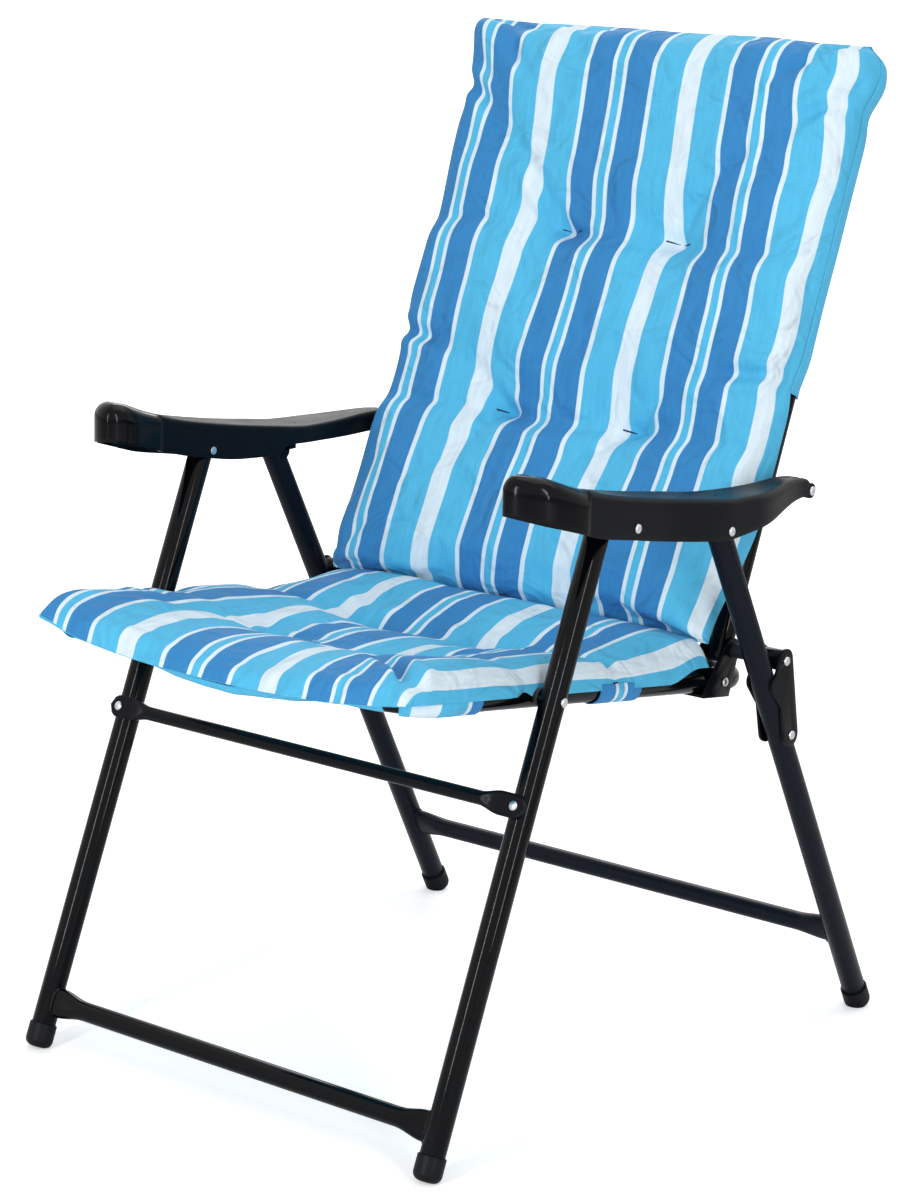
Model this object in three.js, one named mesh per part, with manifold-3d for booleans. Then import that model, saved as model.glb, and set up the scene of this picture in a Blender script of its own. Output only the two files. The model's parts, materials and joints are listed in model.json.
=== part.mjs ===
// Folding armchair: bent steel tube frame, moulded plastic arms and a tufted, striped seat and back pad.
// Millimetres. X runs across the chair, Y from front to back and Z up. The origin is on the floor,
// under the middle of the chair's footprint. The sitter's left side is at +X.

import * as THREE from "three";
import { mergeVertices } from "three/addons/utils/BufferGeometryUtils.js";
import Module from "manifold-3d";

const wasm = await Module();
wasm.setup();

// Driving dimensions: the tube and how pieces fit together
const tubeDiameter = 22;
const tubeWall = 1.2;
const tubeSides = 14;
const fitGap = 0.3;
const cutOverrun = 5;
const mergeTolerance = 1e-4;

// Rivets and bolts
const rivetShaftDiameter = 6;
const rivetHeadDiameter = 8.4;
const rivetHeadHeight = 2.4;
const rivetTailHeight = 1.4;
const rivetSides = 8;

// Front legs, with distances measured up the leg from the floor
const frontLegLean = 21.97;
const railToLegGap = 5;
const seatPivotUpLeg = 410.3;
const armPivotUpLeg = 564.5;
const legEndBeyondPivot = 12;

// Foot caps
const capDiameter = 25;
const capHeight = 22;
const capFloor = 5;
const capSoleRadius = 16;
const capSoleFlat = 0.8;
const capSides = 14;

// Welded crossbars
const crossbarDiameter = 17.6;
const crossbarFlareHeight = 27;
const crossbarFlareDepth = 13;
const crossbarFlareLength = 42;
const frontCrossbarUpLeg = 44.2;

// Upper strap riveted across the front of the front legs
const strapUpLeg = 317;
const strapRodDiameter = 12.4;
const strapEndThickness = 4.4;
const strapEndRadius = 10.4;
const strapTaperLength = 24;

// Seat ring, in the seat's own frame: origin at the seat pivot, Y back along the rail, Z square to it
const seatPitch = 7.8;
const railAxisX = 200;
const ringFrontReach = 155;
const ringRearBeyondPivot = 43.3;
const ringCornerRadius = 36;
const frontBarBow = 14;
const bowShare = 0.3;
const ringJoinGap = 0.6;
const joinerLength = 60;
const joinerWall = 1.4;

// Back pivot on the seat, and the bracket that carries it
const backPivotReach = 282.7;
const backPivotRise = 28.6;
const bracketPlate = 2.5;
const bracketEyeRadius = 11;
const bracketRivetBeforePivot = 7.1;
const bracketFootLength = 40.6;
const bracketFootLead = 30.8;
const bracketFrontEdge = 5.8;
const spacerDiameter = 16;
const pivotSleeveDiameter = 13;

// Back frame, in its own frame: origin at the back pivot, Z up the posts
const backLean = 21.3;
const backHeight = 547;
const backCornerRadius = 60;
const postEndBelowPivot = 10;
const plugFlange = 2;
const plugStemLength = 14;

// Rear legs
const rearLegLean = 28.5;
const rearLegOutboard = 30;
const rearPivotBeforeArmEnd = 154.066;
const rearPivotBelowArmEnd = 10.969;
const linkPivotDownLeg = 230.45;
const rearCrossbarHeight = 84;

// Locking links
const linkPlate = 2.5;
const linkEyeRadius = 11;
const linkNoseReach = 24;
const linkNoseRadius = 9;
const linkNosePlaceShare = 0.76;
const linkBarrelDiameter = 19;
const linkGap = 0.4;

// Armrests, with lengths from the arm's front tip and heights from the arm pivot
const armInnerInboard = 13.8;
const armFrontWidth = 52;
const armRearWidth = 58.3;
const armTipBeyondPivot = 151;
const armEyeWidth = 23;
const armBushLength = 18;
const armWall = 2.6;
const armTop = 3;
const armNoseRadius = 30;
const armNoseHeight = 53.5;
const armCrown = 5.5;
const armBossDiameter = 12;
const armKnuckleDiameter = 14;
const armBushDiameter = 12;
const armWebClearance = 2.4;

// Seat pad
const seatPadOverhang = 1.5;
const seatPadFrontLap = 14;
const seatPadTop = 28;
const seatPadCrown = 9;
const seatPadRearBeforePivot = 32.7;
const seatPadRearSlope = 24;
const seatPadRearLift = 8;
const seatPadSag = 2;
const seatPadLip = 10;
const seatTuftAcross = 64;
const seatTuftRows = [-67, 112];
const tuftDepth = 11;
const tuftRadius = 34;

// Back pad and the pocket behind it
const backPadOverhang = 2;
const backPadThickness = 31;
const backPadTopReach = 558;
const backPadCrown = 9;
const backPadBottomLap = 2;
const backPadLumbar = 66;
const backPadFace = 44;
const backPadLumbarShare = 0.5;
const backTuftAcross = 62;
const backTuftRows = [175, 355];
const padPinch = 6;
const backPinchShares = [0.44, 0.86];
const pocketAboveArmEnd = 80.8;
const pocketCloth = 2.4;
const pocketCornerRadius = 34;

// Base cloths and loops
const clothThickness = 1.6;
const clothSideGap = 1;
const backClothFrom = 60;
const loopLength = 60;
const loopReach = 88;
const loopCloth = 1.8;

// Values worked out from the dimensions above
const degrees = Math.PI / 180;
const tubeRadius = tubeDiameter / 2;
const boreRadius = tubeRadius - tubeWall;
const shaftRadius = rivetShaftDiameter / 2;
const holeRadius = shaftRadius + fitGap;
const railFace = railAxisX + tubeRadius;
const frontLegAxisX = railFace + railToLegGap + tubeRadius;
const rearLegAxisX = frontLegAxisX + rearLegOutboard;
const armInnerX = frontLegAxisX - armInnerInboard;
const armPinchX = railFace + armBushLength;
const armEndX = armPinchX + armEyeWidth;
const armWebX = rearLegAxisX - tubeRadius - armWebClearance - armWall;
const linkInnerX = rearLegAxisX - tubeRadius - linkGap - linkPlate;
const pivotSleeveEndX = linkInnerX - 2 * fitGap;
const seatPadHalfWidth = railFace + seatPadOverhang;
const backPadHalfWidth = railFace + backPadOverhang;
const pocketHalfWidth = backPadHalfWidth + pocketCloth;
const bracketRivetReach = backPivotReach - bracketRivetBeforePivot;
const ringRearReach = backPivotReach + ringRearBeyondPivot;
const seatPadRearReach = backPivotReach - seatPadRearBeforePivot;
const capRadius = capDiameter / 2;
const bothSides = [
  { name: "left", mirror: 1 },
  { name: "right", mirror: -1 },
];

// A point or step in the side view, turned by a lean about X, as a vector
const inSideView = (back, up, lean = 0) =>
  new THREE.Vector3(0, back, up).applyAxisAngle(new THREE.Vector3(1, 0, 0), -lean * degrees);

const seatPivot = inSideView(0, seatPivotUpLeg, frontLegLean);
const armPivot = inSideView(0, armPivotUpLeg, frontLegLean);
const crank = armPivot.clone().sub(seatPivot);
const backPivot = seatPivot.clone().add(inSideView(backPivotReach, backPivotRise, seatPitch));
const armEnd = backPivot.clone().add(crank);
const pocketBottom = crank.length() + pocketAboveArmEnd;
const rearPivot = armEnd.clone().add(inSideView(-rearPivotBeforeArmEnd, -rearPivotBelowArmEnd));
const legHinge = rearPivot.clone().sub(armPivot);
const linkPivot = rearPivot.clone().add(inSideView(0, -linkPivotDownLeg, -rearLegLean));
const linkSpan = backPivot.clone().sub(linkPivot);
const linkLength = linkSpan.length();
const linkLean = Math.atan2(linkSpan.y, linkSpan.z) / degrees;
const rearFloor = -rearPivot.z / Math.cos(rearLegLean * degrees);
const rearCrossbarPlace = rearFloor + rearCrossbarHeight / Math.cos(rearLegLean * degrees);

// Materials, one to a mesh
const finishes = {
  glossBlackTube: { color: 0x0d0e10, roughness: 0.22, metalness: 0.35 },
  satinBlackTube: { color: 0x12161c, roughness: 0.38, metalness: 0.35 },
  armPlastic: { color: 0x111214, roughness: 0.26, metalness: 0 },
  capPlastic: { color: 0x141516, roughness: 0.55, metalness: 0 },
  nylon: { color: 0x1c1d1f, roughness: 0.5, metalness: 0 },
  zinc: { color: 0xb9bcc0, roughness: 0.3, metalness: 1 },
  blackPlate: { color: 0x0f1012, roughness: 0.3, metalness: 0.4 },
  padCloth: { color: 0x4a9fdd, roughness: 0.8, metalness: 0 },
  linerCloth: { color: 0x5fb4e8, roughness: 0.85, metalness: 0 },
};

// Turns a closed geometry into a solid, placed by a matrix
function solidOf(geometry, matrix = new THREE.Matrix4()) {
  const bare = geometry.index ? geometry.toNonIndexed() : geometry.clone();
  bare.deleteAttribute("normal");
  bare.deleteAttribute("uv");
  bare.applyMatrix4(matrix);
  const merged = mergeVertices(bare, mergeTolerance);
  return new wasm.Manifold(
    new wasm.Mesh({
      numProp: 3,
      vertProperties: merged.attributes.position.array,
      triVerts: new Uint32Array(merged.index.array),
    }),
  );
}

// Turns a solid back into a geometry with flat facets
function geometryOf(solid) {
  const mesh = solid.getMesh();
  const places = new Float32Array(mesh.numVert * 3);
  for (let i = 0; i < mesh.numVert; i++) {
    places.set(mesh.vertProperties.subarray(i * mesh.numProp, i * mesh.numProp + 3), i * 3);
  }
  const geometry = new THREE.BufferGeometry();
  geometry.setAttribute("position", new THREE.BufferAttribute(places, 3));
  geometry.setIndex(new THREE.BufferAttribute(new Uint32Array(mesh.triVerts), 1));
  geometry.computeVertexNormals();
  return geometry;
}

// Adds a named piece to a group, with a material of its own
function addPiece(group, name, shape, finish) {
  const geometry = shape.isBufferGeometry ? shape : geometryOf(shape);
  const mesh = new THREE.Mesh(geometry, new THREE.MeshStandardMaterial(finish));
  mesh.name = name;
  group.add(mesh);
  return mesh;
}

const cutAll = (solid, cutters) => cutters.reduce((left, cutter) => left.subtract(cutter), solid);
const joinAll = (solids) => solids.reduce((sum, solid) => sum.add(solid));

const at = (x, y, z) => new THREE.Matrix4().makeTranslation(x, y, z);

// A ring, or a disc where the bore is zero, as a flat outline
function ringOutline(outer, bore) {
  const outline = new THREE.Shape().absarc(0, 0, outer, 0, 2 * Math.PI, false);
  if (bore > 0) outline.holes.push(new THREE.Path().absarc(0, 0, bore, 0, 2 * Math.PI, true));
  return outline;
}

// A route given by its stations, where each piece of tube is straight between two of them
class StationRoute extends THREE.Curve {
  constructor(stations) {
    super();
    this.stations = stations;
  }
  place(t) {
    return Math.round(t * (this.stations.length - 1));
  }
  getPointAt(t, target = new THREE.Vector3()) {
    return target.copy(this.stations[this.place(t)]);
  }
  getTangentAt(t, target = new THREE.Vector3()) {
    const i = this.place(t);
    const here = this.stations[i];
    const before = this.stations[i - 1];
    const after = this.stations[i + 1];
    target.set(0, 0, 0);
    if (before) target.add(here.clone().sub(before).normalize());
    if (after) target.add(after.clone().sub(here).normalize());
    return target.normalize();
  }
}

// A tube, or a solid bar where the bore is zero, swept along stations
function sweep(stations, outer, bore, sides = tubeSides) {
  return new THREE.ExtrudeGeometry(ringOutline(outer, bore), {
    extrudePath: new StationRoute(stations),
    steps: stations.length - 1,
    curveSegments: sides / 2,
  });
}

// The stations of a bend about a centre, between two directions that are square to each other
function bend(corner, from, to, radius, steps) {
  const centre = corner.clone().addScaledVector(from, -radius).addScaledVector(to, radius);
  return Array.from({ length: steps + 1 }, (_, i) => {
    const turn = (i / steps) * (Math.PI / 2);
    return centre
      .clone()
      .addScaledVector(to, -radius * Math.cos(turn))
      .addScaledVector(from, radius * Math.sin(turn));
  });
}

// A bar across the chair, along X between two places, for drilling and for pins
function crossPin(radius, fromX, toX, y, z, sides = rivetSides) {
  const pin = new THREE.CylinderGeometry(radius, radius, toX - fromX, sides);
  pin.rotateZ(Math.PI / 2);
  return solidOf(pin, at((fromX + toX) / 2, y, z));
}

// A revolved piece whose axis lies along X, from a profile of [radius, place along X]
function revolvedAcross(profile, sides) {
  const points = profile.map(([radius, along]) => new THREE.Vector2(radius, along));
  const turned = new THREE.LatheGeometry(points, sides);
  return turned.rotateZ(-Math.PI / 2);
}

// A rivet along X: tail at the inner face, domed head at the outer face
function rivet(innerX, outerX, tailHeight = rivetTailHeight) {
  const head = rivetHeadDiameter / 2;
  const inner = innerX - fitGap;
  const outer = outerX + fitGap;
  const tail = tailHeight > 0
    ? [[0, inner - tailHeight], [head * 0.8, inner - tailHeight], [head * 0.9, inner], [shaftRadius, inner]]
    : [[0, innerX], [shaftRadius, innerX]];
  const dome = [0, 1, 2].map((i) => {
    const turn = (i / 3) * (Math.PI / 2);
    return [head * Math.cos(turn), outer + rivetHeadHeight * Math.sin(turn)];
  });
  return revolvedAcross([...tail, [shaftRadius, outer], ...dome, [0, outer + rivetHeadHeight]], rivetSides);
}

// A plain sleeve along X
function sleeve(outerRadius, fromX, toX, sides = rivetSides + 2) {
  const profile = [
    [holeRadius, fromX],
    [outerRadius, fromX],
    [outerRadius, toX],
    [holeRadius, toX],
    [holeRadius, fromX],
  ];
  return revolvedAcross(profile, sides);
}

// A plate cut to an outline in the side view (Y, Z) and given its thickness along X
function sidePlate(outline, fromX, thickness, segments = 6) {
  const plate = new THREE.ExtrudeGeometry(outline, {
    depth: thickness,
    bevelEnabled: false,
    curveSegments: segments,
  });
  const axes = new THREE.Matrix4().makeBasis(
    new THREE.Vector3(0, 1, 0),
    new THREE.Vector3(0, 0, 1),
    new THREE.Vector3(1, 0, 0),
  );
  return solidOf(plate, at(fromX, 0, 0).multiply(axes));
}

// A block between two corners
function block(low, high) {
  const size = high.map((value, i) => value - low[i]);
  return solidOf(
    new THREE.BoxGeometry(...size),
    at((low[0] + high[0]) / 2, (low[1] + high[1]) / 2, (low[2] + high[2]) / 2),
  );
}

// A closed body through a row of closed sections with the same number of points
function loft(sections) {
  const count = sections[0].length;
  const places = sections.flat().flatMap((point) => point.toArray());
  const faces = [];
  for (let row = 0; row < sections.length - 1; row++) {
    for (let i = 0; i < count; i++) {
      const next = (i + 1) % count;
      const here = row * count;
      const there = here + count;
      faces.push(here + i, here + next, there + next, here + i, there + next, there + i);
    }
  }
  [0, sections.length - 1].forEach((row) => {
    const middle = places.length / 3;
    const centre = sections[row].reduce((sum, point) => sum.add(point), new THREE.Vector3());
    places.push(...centre.divideScalar(count).toArray());
    for (let i = 0; i < count; i++) {
      const a = row * count + i;
      const b = row * count + ((i + 1) % count);
      if (row === 0) faces.push(middle, b, a);
      else faces.push(middle, a, b);
    }
  });
  const geometry = new THREE.BufferGeometry();
  geometry.setAttribute("position", new THREE.Float32BufferAttribute(places, 3));
  geometry.setIndex(faces);
  return geometry;
}

// A section that goes from round to flat as its power rises, in the plane square to X
function pressedSection(x, y, z, halfDepth, halfHeight, power, sides) {
  return Array.from({ length: sides }, (_, i) => {
    const turn = (i / sides) * 2 * Math.PI;
    const c = Math.cos(turn);
    const s = Math.sin(turn);
    return new THREE.Vector3(
      x,
      y + halfDepth * Math.sign(c) * Math.abs(c) ** (2 / power),
      z + halfHeight * Math.sign(s) * Math.abs(s) ** (2 / power),
    );
  });
}

const ease = (share) => {
  const t = Math.min(1, Math.max(0, share));
  return t * t * (3 - 2 * t);
};
const mix = (a, b, share) => a + (b - a) * share;

// Straight leg tube along Z with cross holes, and its foot cap
function legTube(axisX, fromZ, toZ, holes) {
  const tube = new THREE.ExtrudeGeometry(ringOutline(tubeRadius, boreRadius), {
    depth: toZ - fromZ,
    bevelEnabled: false,
    curveSegments: tubeSides / 2,
  });
  return cutAll(solidOf(tube, at(axisX, 0, fromZ)), holes);
}

function footCap(axisX, floorZ, lean) {
  const cosLean = Math.cos(lean * degrees);
  const soleCentre = (capSoleRadius - capSoleFlat) / cosLean;
  const soleEdge = Math.asin(capRadius / capSoleRadius);
  const sole = [0, 1, 2, 3].map((i) => {
    const turn = (i / 3) * soleEdge;
    return [capSoleRadius * Math.sin(turn), soleCentre - capSoleRadius * Math.cos(turn)];
  });
  const socket = tubeRadius + fitGap;
  const profile = [
    ...sole,
    [capRadius, capHeight - capRadius + socket],
    [socket + fitGap, capHeight],
    [socket, capHeight],
    [socket, capFloor],
    [0, capFloor],
  ];
  const points = profile.map(([radius, up]) => new THREE.Vector2(radius, up));
  const cap = new THREE.LatheGeometry(points, capSides).rotateX(Math.PI / 2);
  const placed = solidOf(cap, at(axisX, 0, floorZ));
  const reach = capDiameter * 2;
  const ground = new THREE.BoxGeometry(reach, reach, reach).translate(0, 0, -reach / 2);
  ground.rotateX(lean * degrees);
  return placed.subtract(solidOf(ground, at(axisX, 0, floorZ)));
}

// Tube pressed flat and tall where it is welded between two legs
function weldedCrossbar(legX, placeZ) {
  const flareFrom = legX - crossbarFlareLength;
  const stations = [0, 0.35, 0.7, 1].map((share) => flareFrom + crossbarFlareLength * share);
  const places = [...stations.map((x) => -x).reverse(), ...stations];
  const sections = places.map((x) => {
    const press = ease((Math.abs(x) - flareFrom) / (crossbarFlareLength - tubeRadius));
    const depth = mix(crossbarDiameter, crossbarFlareDepth, press) / 2;
    const height = mix(crossbarDiameter, crossbarFlareHeight, press) / 2;
    return pressedSection(x, 0, placeZ, depth, height, mix(2, 3, press), tubeSides);
  });
  const coping = [-legX, legX].map((x) => {
    const radius = tubeRadius + fitGap;
    const round = new THREE.CylinderGeometry(radius, radius, capDiameter * 2, tubeSides * 2);
    return solidOf(round.rotateX(Math.PI / 2), at(x, 0, placeZ));
  });
  const trimmed = cutAll(solidOf(loft(sections)), coping);
  return trimmed.decompose().sort((a, b) => b.volume() - a.volume())[0];
}

// Front frame: legs, caps, crossbar and strap, in a frame whose Z runs up the legs
function crossStrap() {
  const y = -(tubeRadius + fitGap + strapEndThickness / 2);
  const inner = frontLegAxisX - strapEndRadius - strapTaperLength;
  const flatFrom = frontLegAxisX - strapEndRadius;
  const half = [inner, inner + strapTaperLength * 0.5, flatFrom];
  const round = [0, 0.5, 0.85, 0.98].map((share) => frontLegAxisX + strapEndRadius * share);
  const right = [...half, ...round];
  const places = [...right.map((x) => -x).reverse(), ...right];
  const sections = places.map((x) => {
    const press = ease((Math.abs(x) - inner) / strapTaperLength);
    const past = Math.max(0, Math.abs(x) - frontLegAxisX);
    const tapered = mix(strapRodDiameter / 2, strapEndRadius, press);
    const tall = past > 0 ? Math.sqrt(strapEndRadius ** 2 - past ** 2) : tapered;
    const deep = mix(strapRodDiameter, strapEndThickness, press) / 2;
    return pressedSection(x, y, strapUpLeg, deep, tall, mix(2, 5, press), tubeSides);
  });
  const holes = [-frontLegAxisX, frontLegAxisX].map((x) => strapHole(x));
  return cutAll(solidOf(loft(sections)), holes);
}

function strapHole(x) {
  const reach = tubeDiameter * 2;
  return solidOf(new THREE.CylinderGeometry(holeRadius, holeRadius, reach, rivetSides), at(x, 0, strapUpLeg));
}

function strapRivet() {
  const front = tubeRadius + fitGap + strapEndThickness;
  const made = rivet(-tubeRadius, front);
  return made.rotateZ(-Math.PI / 2).translate(frontLegAxisX, 0, strapUpLeg);
}

function buildFrontFrame() {
  const frame = new THREE.Group();
  frame.rotation.x = -frontLegLean * degrees;
  addPiece(frame, "lower_crossbar", weldedCrossbar(frontLegAxisX, frontCrossbarUpLeg), finishes.glossBlackTube);
  addPiece(frame, "upper_cross_strap", crossStrap(), finishes.blackPlate);
  const legTop = armPivotUpLeg + legEndBeyondPivot;
  const outerFace = frontLegAxisX + tubeRadius;
  bothSides.forEach(({ name, mirror }) => {
    const half = new THREE.Group();
    half.scale.x = mirror;
    frame.add(half);
    const holes = [
      crossPin(holeRadius, armInnerX, outerFace + cutOverrun, 0, seatPivotUpLeg),
      crossPin(holeRadius, armInnerX, outerFace + cutOverrun, 0, armPivotUpLeg),
      strapHole(frontLegAxisX),
    ];
    const leg = legTube(frontLegAxisX, capFloor + fitGap, legTop, holes);
    addPiece(half, "front_leg_" + name, leg, finishes.glossBlackTube);
    addPiece(half, "front_foot_cap_" + name, footCap(frontLegAxisX, 0, frontLegLean), finishes.capPlastic);
    addPiece(half, "strap_rivet_" + name, strapRivet(), finishes.zinc);
    const seatRivet = rivet(railAxisX - tubeRadius, outerFace).translate(0, 0, seatPivotUpLeg);
    addPiece(half, "seat_pivot_rivet_" + name, seatRivet, finishes.zinc);
    const armOuter = armInnerX + armFrontWidth;
    const armRivet = rivet(armInnerX, armOuter).translate(0, 0, armPivotUpLeg);
    addPiece(half, "arm_front_rivet_" + name, armRivet, finishes.zinc);
    const spacerFrom = railAxisX + tubeRadius + fitGap;
    const spacerTo = frontLegAxisX - tubeRadius - fitGap;
    const spacer = sleeve(spacerDiameter / 2, spacerFrom, spacerTo).translate(0, 0, seatPivotUpLeg);
    addPiece(half, "seat_pivot_spacer_" + name, spacer, finishes.nylon);
  });
  return frame;
}

// Seat ring: one bent tube whose ends meet in the middle of the rear bar
function ringStations() {
  const x = railAxisX;
  const front = -ringFrontReach;
  const rear = ringRearReach;
  const left = new THREE.Vector3(-1, 0, 0);
  const right = new THREE.Vector3(1, 0, 0);
  const forward = new THREE.Vector3(0, -1, 0);
  const backward = new THREE.Vector3(0, 1, 0);
  const r = ringCornerRadius;
  const bowSteps = 6;
  const bowSpan = x - r;
  const bow = Array.from({ length: bowSteps - 1 }, (_, i) => {
    const share = ((i + 1) / bowSteps) * 2 - 1;
    return new THREE.Vector3(bowSpan * share, front, (-frontBarBow / 2) * (1 + Math.cos(Math.PI * share)));
  });
  return [
    new THREE.Vector3(-ringJoinGap / 2, rear, 0),
    ...bend(new THREE.Vector3(-x, rear, 0), left, forward, r, 3),
    ...bend(new THREE.Vector3(-x, front, 0), forward, right, r, 4),
    ...bow,
    ...bend(new THREE.Vector3(x, front, 0), right, backward, r, 4),
    ...bend(new THREE.Vector3(x, rear, 0), backward, left, r, 3),
    new THREE.Vector3(ringJoinGap / 2, rear, 0),
  ];
}

function ringJoiner() {
  const outer = boreRadius - fitGap;
  const tube = new THREE.ExtrudeGeometry(ringOutline(outer, outer - joinerWall), {
    depth: joinerLength,
    bevelEnabled: false,
    curveSegments: tubeSides / 2,
  });
  return tube.rotateY(Math.PI / 2).translate(-joinerLength / 2, ringRearReach, 0);
}

// Folded bracket: two cheeks past the rail and a web under it
function bracketOutline() {
  const footRear = bracketRivetReach - bracketFootLead + bracketFootLength;
  const footFront = bracketRivetReach - bracketFootLead;
  const bottom = -(tubeRadius + fitGap + bracketPlate);
  const outline = new THREE.Shape();
  outline.moveTo(footFront, bottom);
  outline.lineTo(footRear, bottom);
  outline.absarc(backPivotReach, backPivotRise, bracketEyeRadius, 0, 150 * degrees, false);
  outline.lineTo(footFront, bottom + bracketFrontEdge);
  return outline;
}

function hingeBracket() {
  const outline = bracketOutline();
  const innerCheek = railAxisX - tubeRadius - fitGap - bracketPlate;
  const outerCheek = railAxisX + tubeRadius + fitGap;
  const bottom = -(tubeRadius + fitGap + bracketPlate);
  const footFront = bracketRivetReach - bracketFootLead;
  const web = block(
    [innerCheek, footFront, bottom],
    [outerCheek + bracketPlate, footFront + bracketFootLength, bottom + bracketPlate],
  );
  const cheeks = [innerCheek, outerCheek].map((x) => sidePlate(outline, x, bracketPlate));
  const fromX = innerCheek - cutOverrun;
  const toX = outerCheek + bracketPlate + cutOverrun;
  return cutAll(joinAll([...cheeks, web]), [
    crossPin(holeRadius, fromX, toX, backPivotReach, backPivotRise),
    crossPin(holeRadius, fromX, toX, bracketRivetReach, 0),
  ]);
}

// A tufted pad over a grid: top and bottom heights are functions of place across and along.
// The edge rows follow the outline, and a side wall joins the two faces.
function padSolid({ halfWidth, from, to, top, bottom, across, along }) {
  const nodes = [];
  const rows = along + 1;
  const columns = across + 1;
  [bottom, top].forEach((height) => {
    for (let row = 0; row < rows; row++) {
      const share = row / along;
      for (let column = 0; column < columns; column++) {
        const side = (column / across) * 2 - 1;
        const reach = mix(from(side, height === top), to(side, height === top), share);
        const x = halfWidth(reach) * side;
        nodes.push(x, reach, height(side, reach, share));
      }
    }
  });
  const faces = [];
  const layer = rows * columns;
  const quad = (a, b, c, d) => faces.push(a, b, c, a, c, d);
  for (let row = 0; row < along; row++) {
    for (let column = 0; column < across; column++) {
      const a = row * columns + column;
      const b = a + 1;
      const c = b + columns;
      const d = a + columns;
      quad(a, d, c, b);
      quad(layer + a, layer + b, layer + c, layer + d);
    }
  }
  for (let column = 0; column < across; column++) {
    const a = column;
    quad(a, a + 1, layer + a + 1, layer + a);
    const b = along * columns + column;
    quad(b + 1, b, layer + b, layer + b + 1);
  }
  for (let row = 0; row < along; row++) {
    const a = row * columns;
    quad(a + columns, a, layer + a, layer + a + columns);
    const b = a + across;
    quad(b, b + columns, layer + b + columns, layer + b);
  }
  const geometry = new THREE.BufferGeometry();
  geometry.setAttribute("position", new THREE.Float32BufferAttribute(nodes, 3));
  geometry.setIndex(faces);
  return geometry;
}

const dimple = (x, y, centreX, centreY) => {
  const distance = Math.hypot(x - centreX, y - centreY) / tuftRadius;
  return Math.exp(-distance * distance * 2);
};

const tufts = (x, y, across, rows) =>
  tuftDepth *
  rows.reduce((sum, row) => sum + dimple(x, y, across, row) + dimple(x, y, -across, row), 0);

// How far a face has swollen at a place that is a share of the way across, from 0 at an edge to 1
const swell = (share, sharpness) => 1 - Math.abs(share) ** sharpness;

function seatPad() {
  const front = -ringFrontReach - seatPadFrontLap;
  const rear = (side, onTop) => (onTop ? seatPadRearReach - seatPadRearSlope : seatPadRearReach);
  const bow = (side, reach) => {
    const nearFront = ease((-reach - ringFrontReach * (1 - bowShare)) / (ringFrontReach * bowShare));
    return (frontBarBow / 2) * (1 + Math.cos(Math.PI * Math.min(1, Math.abs(side) * 1.15))) * nearFront;
  };
  const top = (side, reach, share) => {
    const x = side * seatPadHalfWidth;
    const crown = seatPadCrown * swell(side, 4) * swell(share * 2 - 1, 6);
    const frontRound = (seatPadTop * 0.5) * ease(1 - share * 9);
    const rearLift = seatPadRearLift * ease((share - 0.75) * 4);
    const sewnDown = tufts(x, reach, seatTuftAcross, seatTuftRows);
    return seatPadTop + crown + rearLift - frontRound - bow(side, reach) - sewnDown;
  };
  const bottom = (side, reach, share) => {
    const overRail = ease((Math.abs(side) * seatPadHalfWidth - (railAxisX - tubeDiameter)) / tubeRadius);
    const lap = seatPadLip * ease(1 - share * 9);
    const lift = mix(seatPadSag, 0, overRail) + mix(0, tubeRadius + fitGap, ease((share - 0.86) * 9));
    return lift - lap - bow(side, reach);
  };
  const pinchAt = (reach) => Math.max(...seatTuftRows.map((row) => dimple(0, reach, 0, row)));
  const pad = padSolid({
    halfWidth: (reach) => seatPadHalfWidth - padPinch * pinchAt(reach),
    from: () => front,
    to: rear,
    top,
    bottom,
    across: 16,
    along: 15,
  });
  const grooveRadius = tubeRadius + fitGap;
  const groove = solidOf(sweep(ringStations(), grooveRadius, 0));
  const notchFrom = seatPadHalfWidth - cutOverrun;
  const notches = [-1, 1].map((side) => {
    const ends = [side * notchFrom, side * (seatPadHalfWidth + cutOverrun)].sort((a, b) => a - b);
    return crossPin(spacerDiameter / 2 + fitGap, ...ends, 0, 0, tubeSides);
  });
  const inside = railAxisX - tubeRadius - fitGap;
  const tails = [-1, 1].map((side) => {
    const ends = [side * (inside - rivetTailHeight * 2), side * (inside + tubeWall)].sort((a, b) => a - b);
    return crossPin(rivetHeadDiameter / 2 + 2 * fitGap, ...ends, 0, 0);
  });
  const cut = cutAll(solidOf(pad), [groove, ...notches, ...tails]);
  return cut.decompose().sort((a, b) => b.volume() - a.volume())[0];
}

// The cloth that carries the sitter, held between the rails under the pad
function seatBaseCloth() {
  const half = railAxisX - tubeRadius - fitGap - bracketPlate - clothSideGap;
  const steps = 8;
  const outline = new THREE.Shape();
  const sag = (share) => -clothThickness * 2 * (1 - share * share);
  outline.moveTo(-half, -clothThickness);
  for (let i = 0; i <= steps; i++) {
    const share = (i / steps) * 2 - 1;
    outline.lineTo(half * share, sag(share) - clothThickness);
  }
  for (let i = steps; i >= 0; i--) {
    const share = (i / steps) * 2 - 1;
    outline.lineTo(half * share, sag(share));
  }
  const from = -ringFrontReach * (1 - bowShare);
  const cloth = new THREE.ExtrudeGeometry(outline, { depth: seatPadRearReach - from, bevelEnabled: false });
  return cloth.rotateX(Math.PI / 2).translate(0, seatPadRearReach, 0);
}

// A band of cloth under the rail, sewn to the pad
function railLoop() {
  const inner = tubeRadius + fitGap;
  const outer = inner + loopCloth;
  const outline = new THREE.Shape();
  outline.absarc(0, 0, outer, Math.PI, 2 * Math.PI, false);
  outline.absarc(0, 0, inner, 2 * Math.PI, Math.PI, true);
  const band = new THREE.ExtrudeGeometry(outline, { depth: loopLength, bevelEnabled: false, curveSegments: 7 });
  return band.rotateX(Math.PI / 2).translate(railAxisX, loopReach + loopLength, -fitGap);
}

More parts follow.
